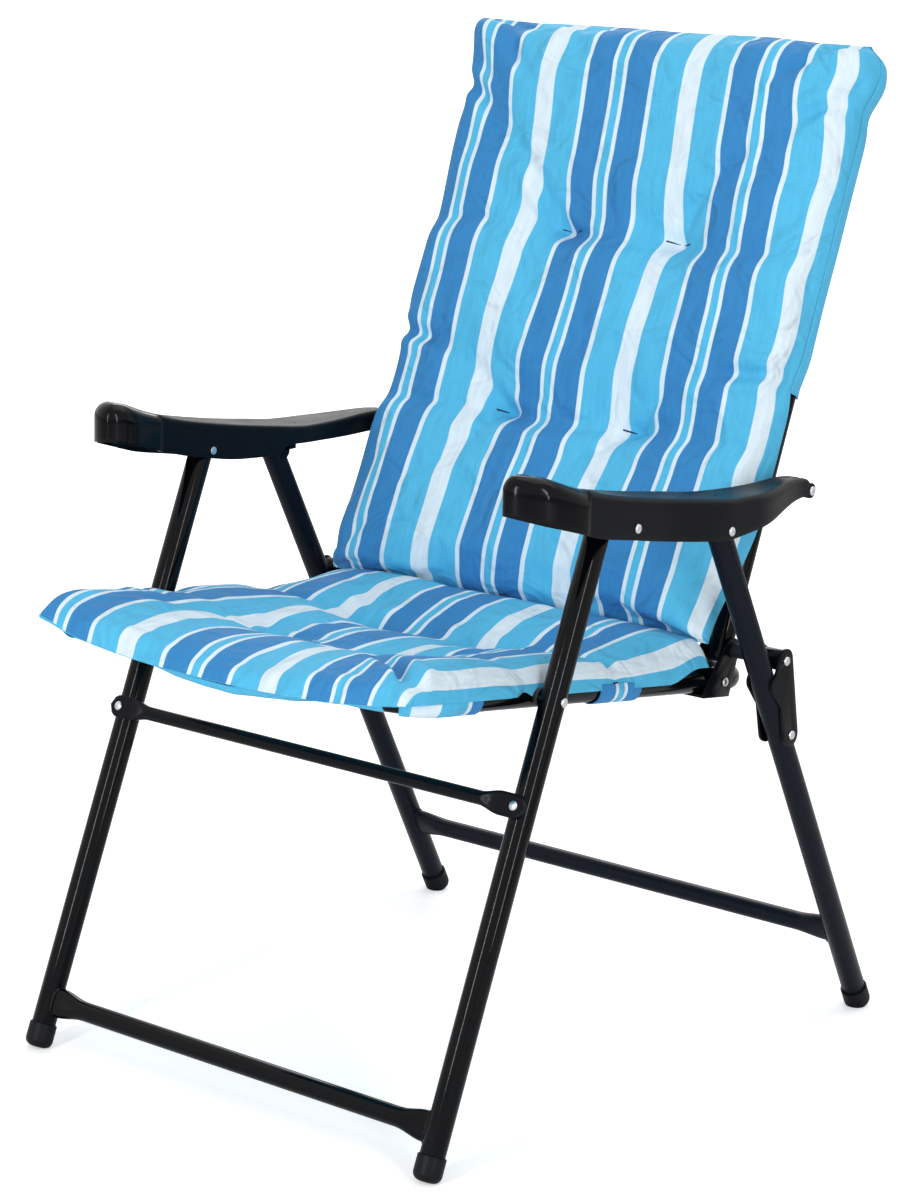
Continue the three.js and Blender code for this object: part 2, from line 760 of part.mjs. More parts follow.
function buildSeatFrame() {
  const frame = new THREE.Group();
  frame.position.copy(seatPivot);
  frame.rotation.x = -seatPitch * degrees;
  const across = railAxisX + tubeDiameter;
  const ring = cutAll(solidOf(sweep(ringStations(), tubeRadius, boreRadius)), [
    crossPin(holeRadius, -across, across, 0, 0),
    crossPin(holeRadius, -across, across, bracketRivetReach, 0),
  ]);
  addPiece(frame, "seat_ring_tube", ring, finishes.glossBlackTube);
  addPiece(frame, "seat_ring_joiner", ringJoiner(), finishes.zinc);
  addPiece(frame, "seat_base_cloth", seatBaseCloth(), finishes.linerCloth);
  addPiece(frame, "seat_pad", seatPad(), finishes.padCloth);
  const inner = railAxisX - tubeRadius - fitGap - bracketPlate;
  const outer = railAxisX + tubeRadius + fitGap + bracketPlate;
  bothSides.forEach(({ name, mirror }) => {
    const half = new THREE.Group();
    half.scale.x = mirror;
    frame.add(half);
    addPiece(half, "hinge_bracket_" + name, hingeBracket(), finishes.blackPlate);
    const bracketRivet = rivet(inner, outer).translate(0, bracketRivetReach, 0);
    addPiece(half, "bracket_rivet_" + name, bracketRivet, finishes.zinc);
    addPiece(half, "back_pivot_bolt_" + name, pivotBolt(inner), finishes.zinc);
    const sleeveFrom = outer + fitGap;
    const tubeSleeve = sleeve(pivotSleeveDiameter / 2, sleeveFrom, pivotSleeveEndX);
    tubeSleeve.translate(0, backPivotReach, backPivotRise);
    addPiece(half, "back_pivot_sleeve_" + name, tubeSleeve, finishes.nylon);
    addPiece(half, "seat_loop_" + name, railLoop(), finishes.padCloth);
  });
  return frame;
}

// Pivot bolt with its head inside the inner cheek and a plain outer end
function pivotBolt(inner) {
  const head = rivetHeadDiameter / 2;
  const face = inner - fitGap;
  const profile = [
    [0, face - rivetHeadHeight],
    [head * 0.7, face - rivetHeadHeight],
    [head, face - rivetHeadHeight / 2],
    [head, face],
    [shaftRadius, face],
    [shaftRadius, pivotSleeveEndX],
    [0, pivotSleeveEndX],
  ];
  return revolvedAcross(profile, rivetSides).translate(0, backPivotReach, backPivotRise);
}

// Back frame: a bent tube open at the bottom, in a frame whose Z runs up the posts
function backStations() {
  const x = railAxisX;
  const up = new THREE.Vector3(0, 0, 1);
  const left = new THREE.Vector3(-1, 0, 0);
  const down = new THREE.Vector3(0, 0, -1);
  return [
    new THREE.Vector3(x, 0, -postEndBelowPivot),
    ...bend(new THREE.Vector3(x, 0, backHeight), up, left, backCornerRadius, 5),
    ...bend(new THREE.Vector3(-x, 0, backHeight), left, down, backCornerRadius, 5),
    new THREE.Vector3(-x, 0, -postEndBelowPivot),
  ];
}

function postPlug() {
  const stem = boreRadius - fitGap;
  const end = -postEndBelowPivot - fitGap;
  const points = [
    [0, end - plugFlange],
    [tubeRadius * 0.85, end - plugFlange],
    [tubeRadius, end - plugFlange / 2],
    [tubeRadius, end],
    [stem, end],
    [stem, end + plugStemLength / 2],
    [0, end + plugStemLength / 2],
  ].map(([radius, up]) => new THREE.Vector2(radius, up));
  return new THREE.LatheGeometry(points, tubeSides).rotateX(Math.PI / 2).translate(railAxisX, 0, 0);
}

// Pad thickness direction is towards the sitter, so the pad is made flat and then stood up
const stoodUp = () =>
  new THREE.Matrix4().makeBasis(
    new THREE.Vector3(1, 0, 0),
    new THREE.Vector3(0, 0, 1),
    new THREE.Vector3(0, -1, 0),
  );

function backPad() {
  const front = (reach) => {
    const lumbar = backPadLumbar - backPadFace;
    return backPadFace + lumbar * ease(1 - reach / (backHeight * backPadLumbarShare));
  };
  const top = (side, reach, share) => {
    const x = side * backPadHalfWidth;
    const crown = backPadCrown * swell(side, 4) * swell(share * 2 - 1, 6);
    const topRound = backPadThickness * 0.6 * ease((share - 0.93) / 0.07);
    const low = backPadThickness * 0.15 * ease(1 - share * 12);
    return front(reach) + crown - topRound - low - tufts(x, reach, backTuftAcross, backTuftRows);
  };
  const bottom = (side, reach) => {
    const clear = tubeRadius + fitGap + clothThickness + fitGap;
    return Math.max(clear, front(reach) - backPadThickness);
  };
  const corner = (reach) => padPinch * ease((reach - backPadTopReach * 0.9) / (backPadTopReach * 0.08));
  const pinchAt = (reach) =>
    Math.max(...backPinchShares.map((share) => dimple(0, reach, 0, backPadTopReach * share)));
  const pad = padSolid({
    halfWidth: (reach) => backPadHalfWidth - padPinch * pinchAt(reach) + corner(reach) * 0.5,
    from: (side, onTop) => (onTop ? -backPadBottomLap : -backPadBottomLap + backPadThickness * 0.1),
    to: () => backPadTopReach,
    top,
    bottom,
    across: 16,
    along: 20,
  });
  return solidOf(pad, stoodUp());
}

function backBaseCloth() {
  const half = railAxisX + tubeRadius / 2;
  const back = tubeRadius + fitGap;
  return block(
    [-half, -(back + clothThickness), backClothFrom],
    [half, -back, backHeight - tubeRadius],
  );
}

function pocketOutline(inset) {
  const half = pocketHalfWidth - inset;
  const top = backHeight + tubeRadius + fitGap + pocketCloth - inset;
  const low = inset > 0 ? pocketBottom - cutOverrun : pocketBottom;
  const r = pocketCornerRadius - inset;
  const outline = new THREE.Shape();
  outline.moveTo(-half, low);
  outline.lineTo(half, low);
  outline.absarc(half - r, top - r, r, 0, Math.PI / 2, false);
  outline.absarc(-half + r, top - r, r, Math.PI / 2, Math.PI, false);
  return outline;
}

// Cloth pocket that drops over the top of the back frame, open below and at the pad
function backPocket() {
  const rear = tubeRadius + fitGap + pocketCloth;
  const shell = new THREE.ExtrudeGeometry(pocketOutline(0), {
    depth: rear + tubeRadius,
    bevelEnabled: false,
    curveSegments: 5,
  });
  const hollow = new THREE.ExtrudeGeometry(pocketOutline(pocketCloth), {
    depth: rear + tubeRadius + cutOverrun,
    bevelEnabled: false,
    curveSegments: 5,
  });
  const outer = solidOf(shell, stoodUp().multiply(at(0, 0, -rear)));
  const inner = solidOf(hollow, stoodUp().multiply(at(0, 0, -rear + pocketCloth)));
  return outer.subtract(inner);
}

function buildBackFrame() {
  const frame = new THREE.Group();
  frame.position.copy(backPivot);
  frame.rotation.x = -backLean * degrees;
  const toArmEnd = crank.clone().applyAxisAngle(new THREE.Vector3(1, 0, 0), backLean * degrees);
  const across = railAxisX + tubeDiameter;
  const tube = cutAll(solidOf(sweep(backStations(), tubeRadius, boreRadius)), [
    crossPin(holeRadius, -across, across, 0, 0),
    crossPin(holeRadius, -across, across, toArmEnd.y, toArmEnd.z),
  ]);
  addPiece(frame, "back_tube", tube, finishes.glossBlackTube);
  addPiece(frame, "back_base_cloth", backBaseCloth(), finishes.linerCloth);
  addPiece(frame, "back_pad", backPad(), finishes.padCloth);
  addPiece(frame, "back_pocket", backPocket(), finishes.padCloth);
  bothSides.forEach(({ name, mirror }) => {
    const half = new THREE.Group();
    half.scale.x = mirror;
    frame.add(half);
    addPiece(half, "back_post_plug_" + name, postPlug(), finishes.capPlastic);
    const armRivet = rivet(railAxisX - tubeRadius, armEndX).translate(0, toArmEnd.y, toArmEnd.z);
    addPiece(half, "arm_rear_rivet_" + name, armRivet, finishes.zinc);
  });
  return frame;
}

// Armrest: a moulded channel, deep and bulbous at the front and drawn in to an eye at the back.
// Shares run from the front tip to the rear eye, and heights are shares of the nose height.
const armTopShares = [
  [0, 0.56], [0.012, 0.76], [0.035, 0.93], [0.07, 1], [0.13, 0.905], [0.2, 0.78], [0.25, 0.65],
  [0.34, 0.5], [0.45, 0.35], [0.56, 0.22], [0.68, 0.1], [0.8, 0.07], [0.92, 0.085], [0.965, 0.04], [1, -0.06],
];
const armOuterLowShares = [
  [0, 0.53], [0.05, 0.47], [0.12, 0.25], [0.2, 0.1], [0.33, -0.16], [0.44, -0.32], [0.55, -0.45],
  [0.64, -0.55], [0.7, -0.46], [0.78, -0.42], [0.87, -0.32], [0.94, -0.28], [1, -0.26],
];
const armInnerLowShares = [
  [0, 0.55], [0.075, 0.42], [0.17, 0.2], [0.26, 0], [0.34, -0.13], [0.44, -0.25], [0.56, -0.3],
  [0.59, -0.17], [0.68, -0.21], [0.85, -0.27], [1, -0.26],
];

// Value of a smooth table of [place, value] shares
function along(table, share) {
  const last = table.length - 1;
  if (share <= table[0][0]) return table[0][1];
  if (share >= table[last][0]) return table[last][1];
  const i = table.findIndex(([place]) => place > share) - 1;
  const [fromPlace, fromValue] = table[i];
  const [toPlace, toValue] = table[i + 1];
  return mix(fromValue, toValue, (share - fromPlace) / (toPlace - fromPlace));
}

const armNoseWallShare = 0.012;
const armHollowEndShare = 0.86;
const armStationShares = [
  0.003, 0.012, 0.03, 0.055, 0.085, 0.13, 0.185, 0.25, 0.33, 0.42,
  0.5, 0.56, 0.6, 0.64, 0.68, 0.74, 0.8, 0.86, 0.92, 0.965,
];

function armMeasures() {
  const rearEye = armEnd.clone().sub(armPivot);
  const tip = rearEye.y;
  const length = armTipBeyondPivot + tip;
  return { rearEye, tip, length };
}

// Inner and outer side of the arm at a share of its length
function armSides(share, length) {
  const place = share * length;
  const noseIn = armNoseRadius * (1 - Math.sqrt(1 - (1 - Math.min(1, place / armNoseRadius)) ** 2));
  const middle = armInnerX + armFrontWidth / 2;
  const taper = ease((share - 0.54) / 0.36);
  const close = ease((share - 0.74) / 0.26);
  const spread = ease((share - 0.42) / 0.24);
  const inner = mix(armInnerX, armPinchX, taper);
  const outerWide = mix(armInnerX + armFrontWidth, armInnerX + armRearWidth, spread);
  const outer = mix(outerWide, armEndX, close);
  const shrink = noseIn / armNoseRadius;
  return [mix(inner, middle, shrink), mix(outer, middle, shrink)];
}

function armOuterSection(share, length) {
  const [inner, outer] = armSides(share, length);
  const y = -armTipBeyondPivot + share * length;
  const crownTop = armNoseHeight * along(armTopShares, share);
  const lowInner = armNoseHeight * along(armInnerLowShares, share);
  const lowOuter = armNoseHeight * along(armOuterLowShares, share);
  const shoulder = crownTop - Math.min(armCrown, (crownTop - Math.max(lowInner, lowOuter)) / 2);
  const width = outer - inner;
  const rim = Math.min(armCrown, width / 4);
  const point = (x, z) => new THREE.Vector3(x, y, z);
  return [
    point(inner, lowInner),
    point(outer, lowOuter),
    point(outer, mix(lowOuter, shoulder, 0.5)),
    point(outer, shoulder),
    point(outer - rim * 0.3, mix(shoulder, crownTop, 0.55)),
    point(outer - rim, mix(shoulder, crownTop, 0.85)),
    point(mix(inner, outer, 0.62), crownTop),
    point(mix(inner, outer, 0.38), crownTop),
    point(inner + rim, mix(shoulder, crownTop, 0.85)),
    point(inner + rim * 0.3, mix(shoulder, crownTop, 0.55)),
    point(inner, shoulder),
    point(inner, mix(lowInner, shoulder, 0.5)),
  ].reverse();
}

function armHollowSection(share, length) {
  const [inner, outer] = armSides(share, length);
  const y = -armTipBeyondPivot + share * length;
  const crownTop = armNoseHeight * along(armTopShares, share) - armTop;
  const shoulder = crownTop - armCrown;
  const low = -armNoseHeight;
  const width = outer - inner - 2 * armWall;
  const rim = Math.min(armCrown, width / 4);
  const point = (x, z) => new THREE.Vector3(x, y, z);
  return [
    point(inner + armWall, low),
    point(outer - armWall, low),
    point(outer - armWall, shoulder),
    point(outer - armWall - rim, mix(shoulder, crownTop, 0.85)),
    point(inner + armWall + rim, mix(shoulder, crownTop, 0.85)),
    point(inner + armWall, shoulder),
  ].reverse();
}

function armrest() {
  const { rearEye, tip, length } = armMeasures();
  const outerShell = solidOf(loft(armStationShares.map((share) => armOuterSection(share, length))));
  const hollowFrom = armWall / length + armNoseWallShare;
  const hollowTo = armHollowEndShare;
  const between = armStationShares.filter((share) => share > hollowFrom * 1.5 && share < hollowTo);
  const hollowShares = [hollowFrom, ...between, hollowTo];
  const hollow = solidOf(loft(hollowShares.map((share) => armHollowSection(share, length))));
  const frontOuter = armInnerX + armFrontWidth;
  const bossFrom = frontLegAxisX + tubeRadius + fitGap;
  const boss = crossPin(armBossDiameter / 2, bossFrom, frontOuter - armWall / 2, 0, 0, tubeSides);
  const { y: webY, z: webZ } = legHinge;
  const lobeRadius = armKnuckleDiameter * 0.62;
  const webRear = webY + lobeRadius * 2;
  const underRoof = armNoseHeight * along(armTopShares, (armTipBeyondPivot + webRear) / length) - armTop;
  const webTo = (z) => block([armWebX, webY - lobeRadius * 2, webZ], [armWebX + armWall, webRear, z]);
  const webDisc = crossPin(lobeRadius, armWebX, armWebX + armWall, webY, webZ, tubeSides);
  const web = joinAll([webTo(armNoseHeight).intersect(outerShell), webTo(underRoof), webDisc]);
  const [, lobeOuter] = armSides((armTipBeyondPivot + webY) / length, length);
  const lobe = crossPin(lobeRadius, lobeOuter - armWall, lobeOuter, webY, webZ, tubeSides);
  const knuckle = crossPin(armKnuckleDiameter / 2, armPinchX, armEndX, rearEye.y, rearEye.z, tubeSides);
  const neckDepth = armKnuckleDiameter * 0.8;
  const neck = block(
    [armPinchX, tip - armKnuckleDiameter * 1.6, rearEye.z - neckDepth / 2],
    [armEndX, tip, rearEye.z + neckDepth / 2],
  );
  const farOuter = armInnerX + armRearWidth + cutOverrun;
  return cutAll(joinAll([outerShell.subtract(hollow), boss, web, lobe, knuckle, neck]), [
    crossPin(holeRadius, armInnerX - cutOverrun, farOuter, 0, 0),
    crossPin(holeRadius, armWebX - cutOverrun, farOuter, webY, webZ),
    crossPin(holeRadius, armPinchX - cutOverrun, armEndX + cutOverrun, rearEye.y, rearEye.z),
  ]);
}

function buildArm({ name, mirror }) {
  const arm = new THREE.Group();
  arm.position.copy(armPivot);
  arm.scale.x = mirror;
  const { rearEye, length } = armMeasures();
  addPiece(arm, "armrest_" + name, armrest(), finishes.armPlastic);
  const bushFrom = railAxisX + tubeRadius + fitGap;
  const bush = sleeve(armBushDiameter / 2, bushFrom, armPinchX - fitGap).translate(0, rearEye.y, rearEye.z);
  addPiece(arm, "arm_rear_bush_" + name, bush, finishes.nylon);
  const [, outer] = armSides((armTipBeyondPivot + legHinge.y) / length, length);
  const legRivet = rivet(armWebX, outer).translate(0, legHinge.y, legHinge.z);
  addPiece(arm, "rear_leg_rivet_" + name, legRivet, finishes.zinc);
  return arm;
}

// Rear frame, in a frame with its origin at the rear leg's top pivot and Z up the leg
function buildRearFrame() {
  const frame = new THREE.Group();
  frame.position.copy(rearPivot);
  frame.rotation.x = rearLegLean * degrees;
  addPiece(frame, "rear_crossbar", weldedCrossbar(rearLegAxisX, rearCrossbarPlace), finishes.satinBlackTube);
  const inner = rearLegAxisX - tubeRadius;
  const outer = rearLegAxisX + tubeRadius;
  bothSides.forEach(({ name, mirror }) => {
    const half = new THREE.Group();
    half.scale.x = mirror;
    frame.add(half);
    const holes = [0, -linkPivotDownLeg].map((z) =>
      crossPin(holeRadius, inner - cutOverrun, outer + cutOverrun, 0, z),
    );
    const leg = legTube(rearLegAxisX, rearFloor + capFloor + fitGap, legEndBeyondPivot, holes);
    addPiece(half, "rear_leg_" + name, leg, finishes.satinBlackTube);
    const cap = footCap(rearLegAxisX, rearFloor, -rearLegLean);
    addPiece(half, "rear_foot_cap_" + name, cap, finishes.capPlastic);
    const lowRivet = rivet(linkInnerX, outer + linkGap + linkPlate).translate(0, 0, -linkPivotDownLeg);
    addPiece(half, "link_lower_rivet_" + name, lowRivet, finishes.zinc);
  });
  return frame;
}

// Locking link: two shaped cheeks either side of the rear leg, held apart by a barrel at the top
function linkOutline() {
  const r = linkEyeRadius;
  const noseZ = linkLength * linkNosePlaceShare;
  const noseY = -(linkNoseReach - linkNoseRadius);
  const outline = new THREE.Shape();
  outline.absarc(0, 0, r, Math.PI, 2 * Math.PI, false);
  outline.lineTo(r, linkLength);
  outline.absarc(0, linkLength, r, 0, 0.6 * Math.PI, false);
  outline.absarc(noseY, noseZ, linkNoseRadius, 0.6 * Math.PI, 1.15 * Math.PI, false);
  outline.lineTo(-r * 1.08, linkLength * 0.42);
  return outline;
}

function buildLink({ name, mirror }) {
  const link = new THREE.Group();
  link.position.copy(linkPivot);
  link.rotation.x = -linkLean * degrees;
  link.scale.x = mirror;
  const inner = linkInnerX;
  const outer = rearLegAxisX + tubeRadius + linkGap;
  const outline = linkOutline();
  const holes = [0, linkLength].map((z) =>
    crossPin(holeRadius, inner - cutOverrun, outer + linkPlate + cutOverrun, 0, z),
  );
  const cheek = (x) => cutAll(sidePlate(outline, x, linkPlate), holes);
  addPiece(link, "link_inner_cheek_" + name, cheek(inner), finishes.blackPlate);
  addPiece(link, "link_outer_cheek_" + name, cheek(outer), finishes.blackPlate);
  const barrel = sleeve(linkBarrelDiameter / 2, inner + linkPlate + fitGap, outer - fitGap);
  addPiece(link, "link_barrel_" + name, barrel.translate(0, 0, linkLength), finishes.blackPlate);
  const topRivet = rivet(inner, outer + linkPlate, 0).translate(0, 0, linkLength);
  addPiece(link, "link_top_rivet_" + name, topRivet, finishes.zinc);
  return link;
}

// The whole chair, moved so that the origin is under the middle of its footprint
const chair = new THREE.Group();
const parts = new THREE.Group();
parts.add(buildFrontFrame(), buildSeatFrame(), buildBackFrame(), buildRearFrame());
bothSides.forEach((side) => parts.add(buildArm(side), buildLink(side)));
chair.add(parts);
chair.updateMatrixWorld(true);
const extent = new THREE.Box3().setFromObject(chair, true);
parts.position.y = -(extent.min.y + extent.max.y) / 2;

export default chair;
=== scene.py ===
import json
import math

import bmesh
import bpy
import numpy as np
from mathutils import Matrix, Vector

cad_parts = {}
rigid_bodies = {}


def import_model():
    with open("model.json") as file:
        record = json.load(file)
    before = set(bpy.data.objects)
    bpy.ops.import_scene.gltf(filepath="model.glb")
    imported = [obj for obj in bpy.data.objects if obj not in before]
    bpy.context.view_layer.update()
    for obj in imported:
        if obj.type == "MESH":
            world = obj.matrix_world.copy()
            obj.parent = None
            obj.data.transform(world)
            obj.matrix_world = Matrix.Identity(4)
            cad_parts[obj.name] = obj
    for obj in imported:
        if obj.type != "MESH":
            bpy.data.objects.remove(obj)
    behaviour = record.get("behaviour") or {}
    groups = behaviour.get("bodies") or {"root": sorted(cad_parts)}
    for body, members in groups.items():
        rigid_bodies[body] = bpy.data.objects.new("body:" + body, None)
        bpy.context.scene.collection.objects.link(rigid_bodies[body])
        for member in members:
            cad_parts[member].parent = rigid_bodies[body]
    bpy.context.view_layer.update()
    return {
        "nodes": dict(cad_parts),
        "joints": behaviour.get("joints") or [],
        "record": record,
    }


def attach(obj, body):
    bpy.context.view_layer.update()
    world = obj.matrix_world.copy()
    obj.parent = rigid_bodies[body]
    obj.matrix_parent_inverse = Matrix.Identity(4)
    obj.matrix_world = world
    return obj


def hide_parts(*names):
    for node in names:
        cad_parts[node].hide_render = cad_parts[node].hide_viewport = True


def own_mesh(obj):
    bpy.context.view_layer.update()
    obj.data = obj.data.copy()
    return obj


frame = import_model()

# Lengths below are in metres. The chair faces -Y, and the sitter's left is +X.
MM = 0.001
pad_step = 4.9 * MM

# Joints of the chair, which every piece is placed from
joint_places = {joint["name"]: Vector(joint["pos_m"]) for joint in frame["joints"]}
seat_pivot = Vector((0, *joint_places["seat_fold"][1:]))
back_pivot = Vector((0, *joint_places["back_fold"][1:]))
arm_pivot = Vector((0, *joint_places["arm_fold_left"][1:]))
rear_pivot = Vector((0, *joint_places["rear_leg_fold"][1:]))
link_pivot = Vector((0, *joint_places["link_fold_left"][1:]))

front_lean = math.atan2(arm_pivot.y - seat_pivot.y, arm_pivot.z - seat_pivot.z)
rear_lean = math.atan2(link_pivot.y - rear_pivot.y, rear_pivot.z - link_pivot.z)
seat_pitch = math.radians(7.8)
back_lean = math.radians(21.3)
front_foot = Vector((0, seat_pivot.y - seat_pivot.z * math.tan(front_lean), 0))
rear_foot = Vector((0, rear_pivot.y + rear_pivot.z * math.tan(rear_lean), 0))


# Frames of the leaning sub-assemblies: local X across, Y back and Z up become chair places
def leaning(origin, lean):
    return Matrix.Translation(origin) @ Matrix.Rotation(-lean, 4, "X")


front_axes = leaning(front_foot, front_lean)
seat_axes = leaning(seat_pivot, seat_pitch)
back_axes = leaning(back_pivot, back_lean)
rear_axes = leaning(rear_pivot, -rear_lean)


# Camera, solved from the photograph's pairs of rivets and feet
focal_pixels = 3390
picture_width = 910
picture_height = 1200
sensor_size = 36
optical_centre = (381.6, 567.3)
camera_roll = math.radians(1.21)
camera_place = front_foot + Vector((1.8577, -2.0322, 1.1033))
camera_target = front_foot + Vector((0, 0.2, 0.45))


def add_camera():
    forward = (camera_target - camera_place).normalized()
    right = forward.cross(Vector((0, 0, 1))).normalized()
    up = right.cross(forward)
    rolled_right = right * math.cos(camera_roll) + up * math.sin(camera_roll)
    rolled_up = up * math.cos(camera_roll) - right * math.sin(camera_roll)
    data = bpy.data.cameras.new("camera")
    data.sensor_width = sensor_size
    data.lens = focal_pixels / picture_height * sensor_size
    data.shift_x = (picture_width / 2 - optical_centre[0]) / picture_height
    data.shift_y = (optical_centre[1] - picture_height / 2) / picture_height
    camera = bpy.data.objects.new("camera", data)
    bpy.context.scene.collection.objects.link(camera)
    turn = Matrix((rolled_right, rolled_up, -forward)).transposed()
    camera.matrix_world = Matrix.Translation(camera_place) @ turn.to_4x4()
    bpy.context.scene.camera = camera


# Nodes get their inputs by name, or by number after an underscore
def set_inputs(node, values):
    for socket, value in values.items():
        key = int(socket[1:]) if socket[0] == "_" else socket.replace("_", " ")
        node.inputs[key].default_value = value


def add_node(tree, kind, operation=None, **values):
    node = tree.nodes.new(kind)
    if operation:
        node.operation = operation
    set_inputs(node, values)
    return node


def new_material(name, **values):
    material = bpy.data.materials.new(name)
    material.use_nodes = True
    set_inputs(material.node_tree.nodes["Principled BSDF"], values)
    return material


# Studio: pale floor, soft area lights and a pale world that lights matt surfaces less than it is seen
world_on_matt = 0.5
world_seen = 1.0
studio_lights = [
    ("left_strip", (0.05, -3.0, 1.3), (0, 0, 0.55), (0.2, 2.2), 38),
    ("right_strip", (2.72, -1.28, 1.3), (0, 0, 0.55), (0.2, 2.2), 27),
    ("top_light", (0.2, 0.8, 3.2), (0, 0, 0.45), (2.4, 2.4), 26),
    ("back_light", (-1.8, 2.4, 2.2), (0, 0, 0.45), (1.4, 1.4), 22),
]
floor_radius = 60


def add_area_light(name, place, aim, size, power):
    data = bpy.data.lights.new(name, "AREA")
    data.shape = "RECTANGLE"
    data.size, data.size_y = size
    data.energy = power
    light = bpy.data.objects.new(name, data)
    bpy.context.scene.collection.objects.link(light)
    light.location = place
    light.rotation_euler = (Vector(aim) - Vector(place)).to_track_quat("-Z", "Y").to_euler()


def add_world():
    world = bpy.data.worlds.new("studio")
    bpy.context.scene.world = world
    world.use_nodes = True
    tree = world.node_tree
    background = tree.nodes["Background"]
    set_inputs(background, {"Color": (1, 1, 1, 1)})
    path = add_node(tree, "ShaderNodeLightPath")
    seen = path.outputs["Is Camera Ray"]
    for ray in ("Is Transmission Ray", "Is Glossy Ray"):
        either = add_node(tree, "ShaderNodeMath", "MAXIMUM")
        tree.links.new(seen, either.inputs[0])
        tree.links.new(path.outputs[ray], either.inputs[1])
        seen = either.outputs[0]
    level = add_node(tree, "ShaderNodeMapRange", To_Min=world_on_matt, To_Max=world_seen)
    tree.links.new(seen, level.inputs["Value"])
    tree.links.new(level.outputs["Result"], background.inputs["Strength"])


def add_studio():
    bpy.context.scene.view_settings.view_transform = "Standard"
    add_world()
    bpy.ops.object.select_all(action="DESELECT")
    bpy.ops.mesh.primitive_circle_add(vertices=96, radius=floor_radius, fill_type="NGON")
    floor = bpy.context.object
    floor.name = "studio_floor"
    floor.data.materials.append(floor_material())
    for light in studio_lights:
        add_area_light(*light)


# Floor that brightens to white away from the chair, for the camera alone
def floor_material():
    material = new_material(
        "studio_floor", Base_Color=(0.93, 0.93, 0.93, 1), Roughness=0.9, Specular_IOR_Level=0.1
    )
    tree = material.node_tree
    links = tree.links
    glow = add_node(tree, "ShaderNodeEmission")
    path = add_node(tree, "ShaderNodeLightPath")
    place = add_node(tree, "ShaderNodeTexCoord")
    distance = add_node(tree, "ShaderNodeVectorMath", "LENGTH")
    links.new(place.outputs["Object"], distance.inputs[0])
    rise = add_node(tree, "ShaderNodeMapRange", From_Min=1.0, From_Max=3.5, To_Min=0.4, To_Max=1.0)
    links.new(distance.outputs["Value"], rise.inputs["Value"])
    lit = add_node(tree, "ShaderNodeMath", "MULTIPLY")
    links.new(rise.outputs["Result"], lit.inputs[1])
    links.new(path.outputs["Is Camera Ray"], lit.inputs[0])
    links.new(lit.outputs[0], glow.inputs["Strength"])
    both = add_node(tree, "ShaderNodeAddShader")
    links.new(tree.nodes["Principled BSDF"].outputs[0], both.inputs[0])
    links.new(glow.outputs[0], both.inputs[1])
    links.new(both.outputs[0], tree.nodes["Material Output"].inputs["Surface"])
    return material


# Shared effects, as node groups
def new_group(name, inputs, outputs):
    group = bpy.data.node_groups.new(name, "ShaderNodeTree")
    for label, kind, value in inputs:
        socket = group.interface.new_socket(label, in_out="INPUT", socket_type=kind)
        if value is not None:
            socket.default_value = value
    for label in outputs:
        group.interface.new_socket(label, in_out="OUTPUT", socket_type="NodeSocketFloat")
    return group, group.nodes.new("NodeGroupInput"), group.nodes.new("NodeGroupOutput")


# Fine orange peel and dust of powder coat, as a height and a roughness change
def coat_texture_group():
    group, start, end = new_group(
        "coat_texture",
        [("Grain Size", "NodeSocketFloat", 900.0), ("Base Roughness", "NodeSocketFloat", 0.25)],
        ["Height", "Roughness"],
    )
    links = group.links
    place = add_node(group, "ShaderNodeTexCoord")
    peel = add_node(group, "ShaderNodeTexNoise", Detail=2.0, Roughness=0.5)
    links.new(place.outputs["Object"], peel.inputs["Vector"])
    links.new(start.outputs["Grain Size"], peel.inputs["Scale"])
    smear = add_node(group, "ShaderNodeTexNoise", Scale=22.0, Detail=4.0, Roughness=0.6)
    links.new(place.outputs["Object"], smear.inputs["Vector"])
    spread = add_node(group, "ShaderNodeMapRange", From_Min=0.3, From_Max=0.75, To_Min=-0.05, To_Max=0.09)
    links.new(smear.outputs["Fac"], spread.inputs["Value"])
    total = add_node(group, "ShaderNodeMath", "ADD")
    links.new(spread.outputs["Result"], total.inputs[0])
    links.new(start.outputs["Base Roughness"], total.inputs[1])
    links.new(peel.outputs["Fac"], end.inputs["Height"])
    links.new(total.outputs[0], end.inputs["Roughness"])
    return group


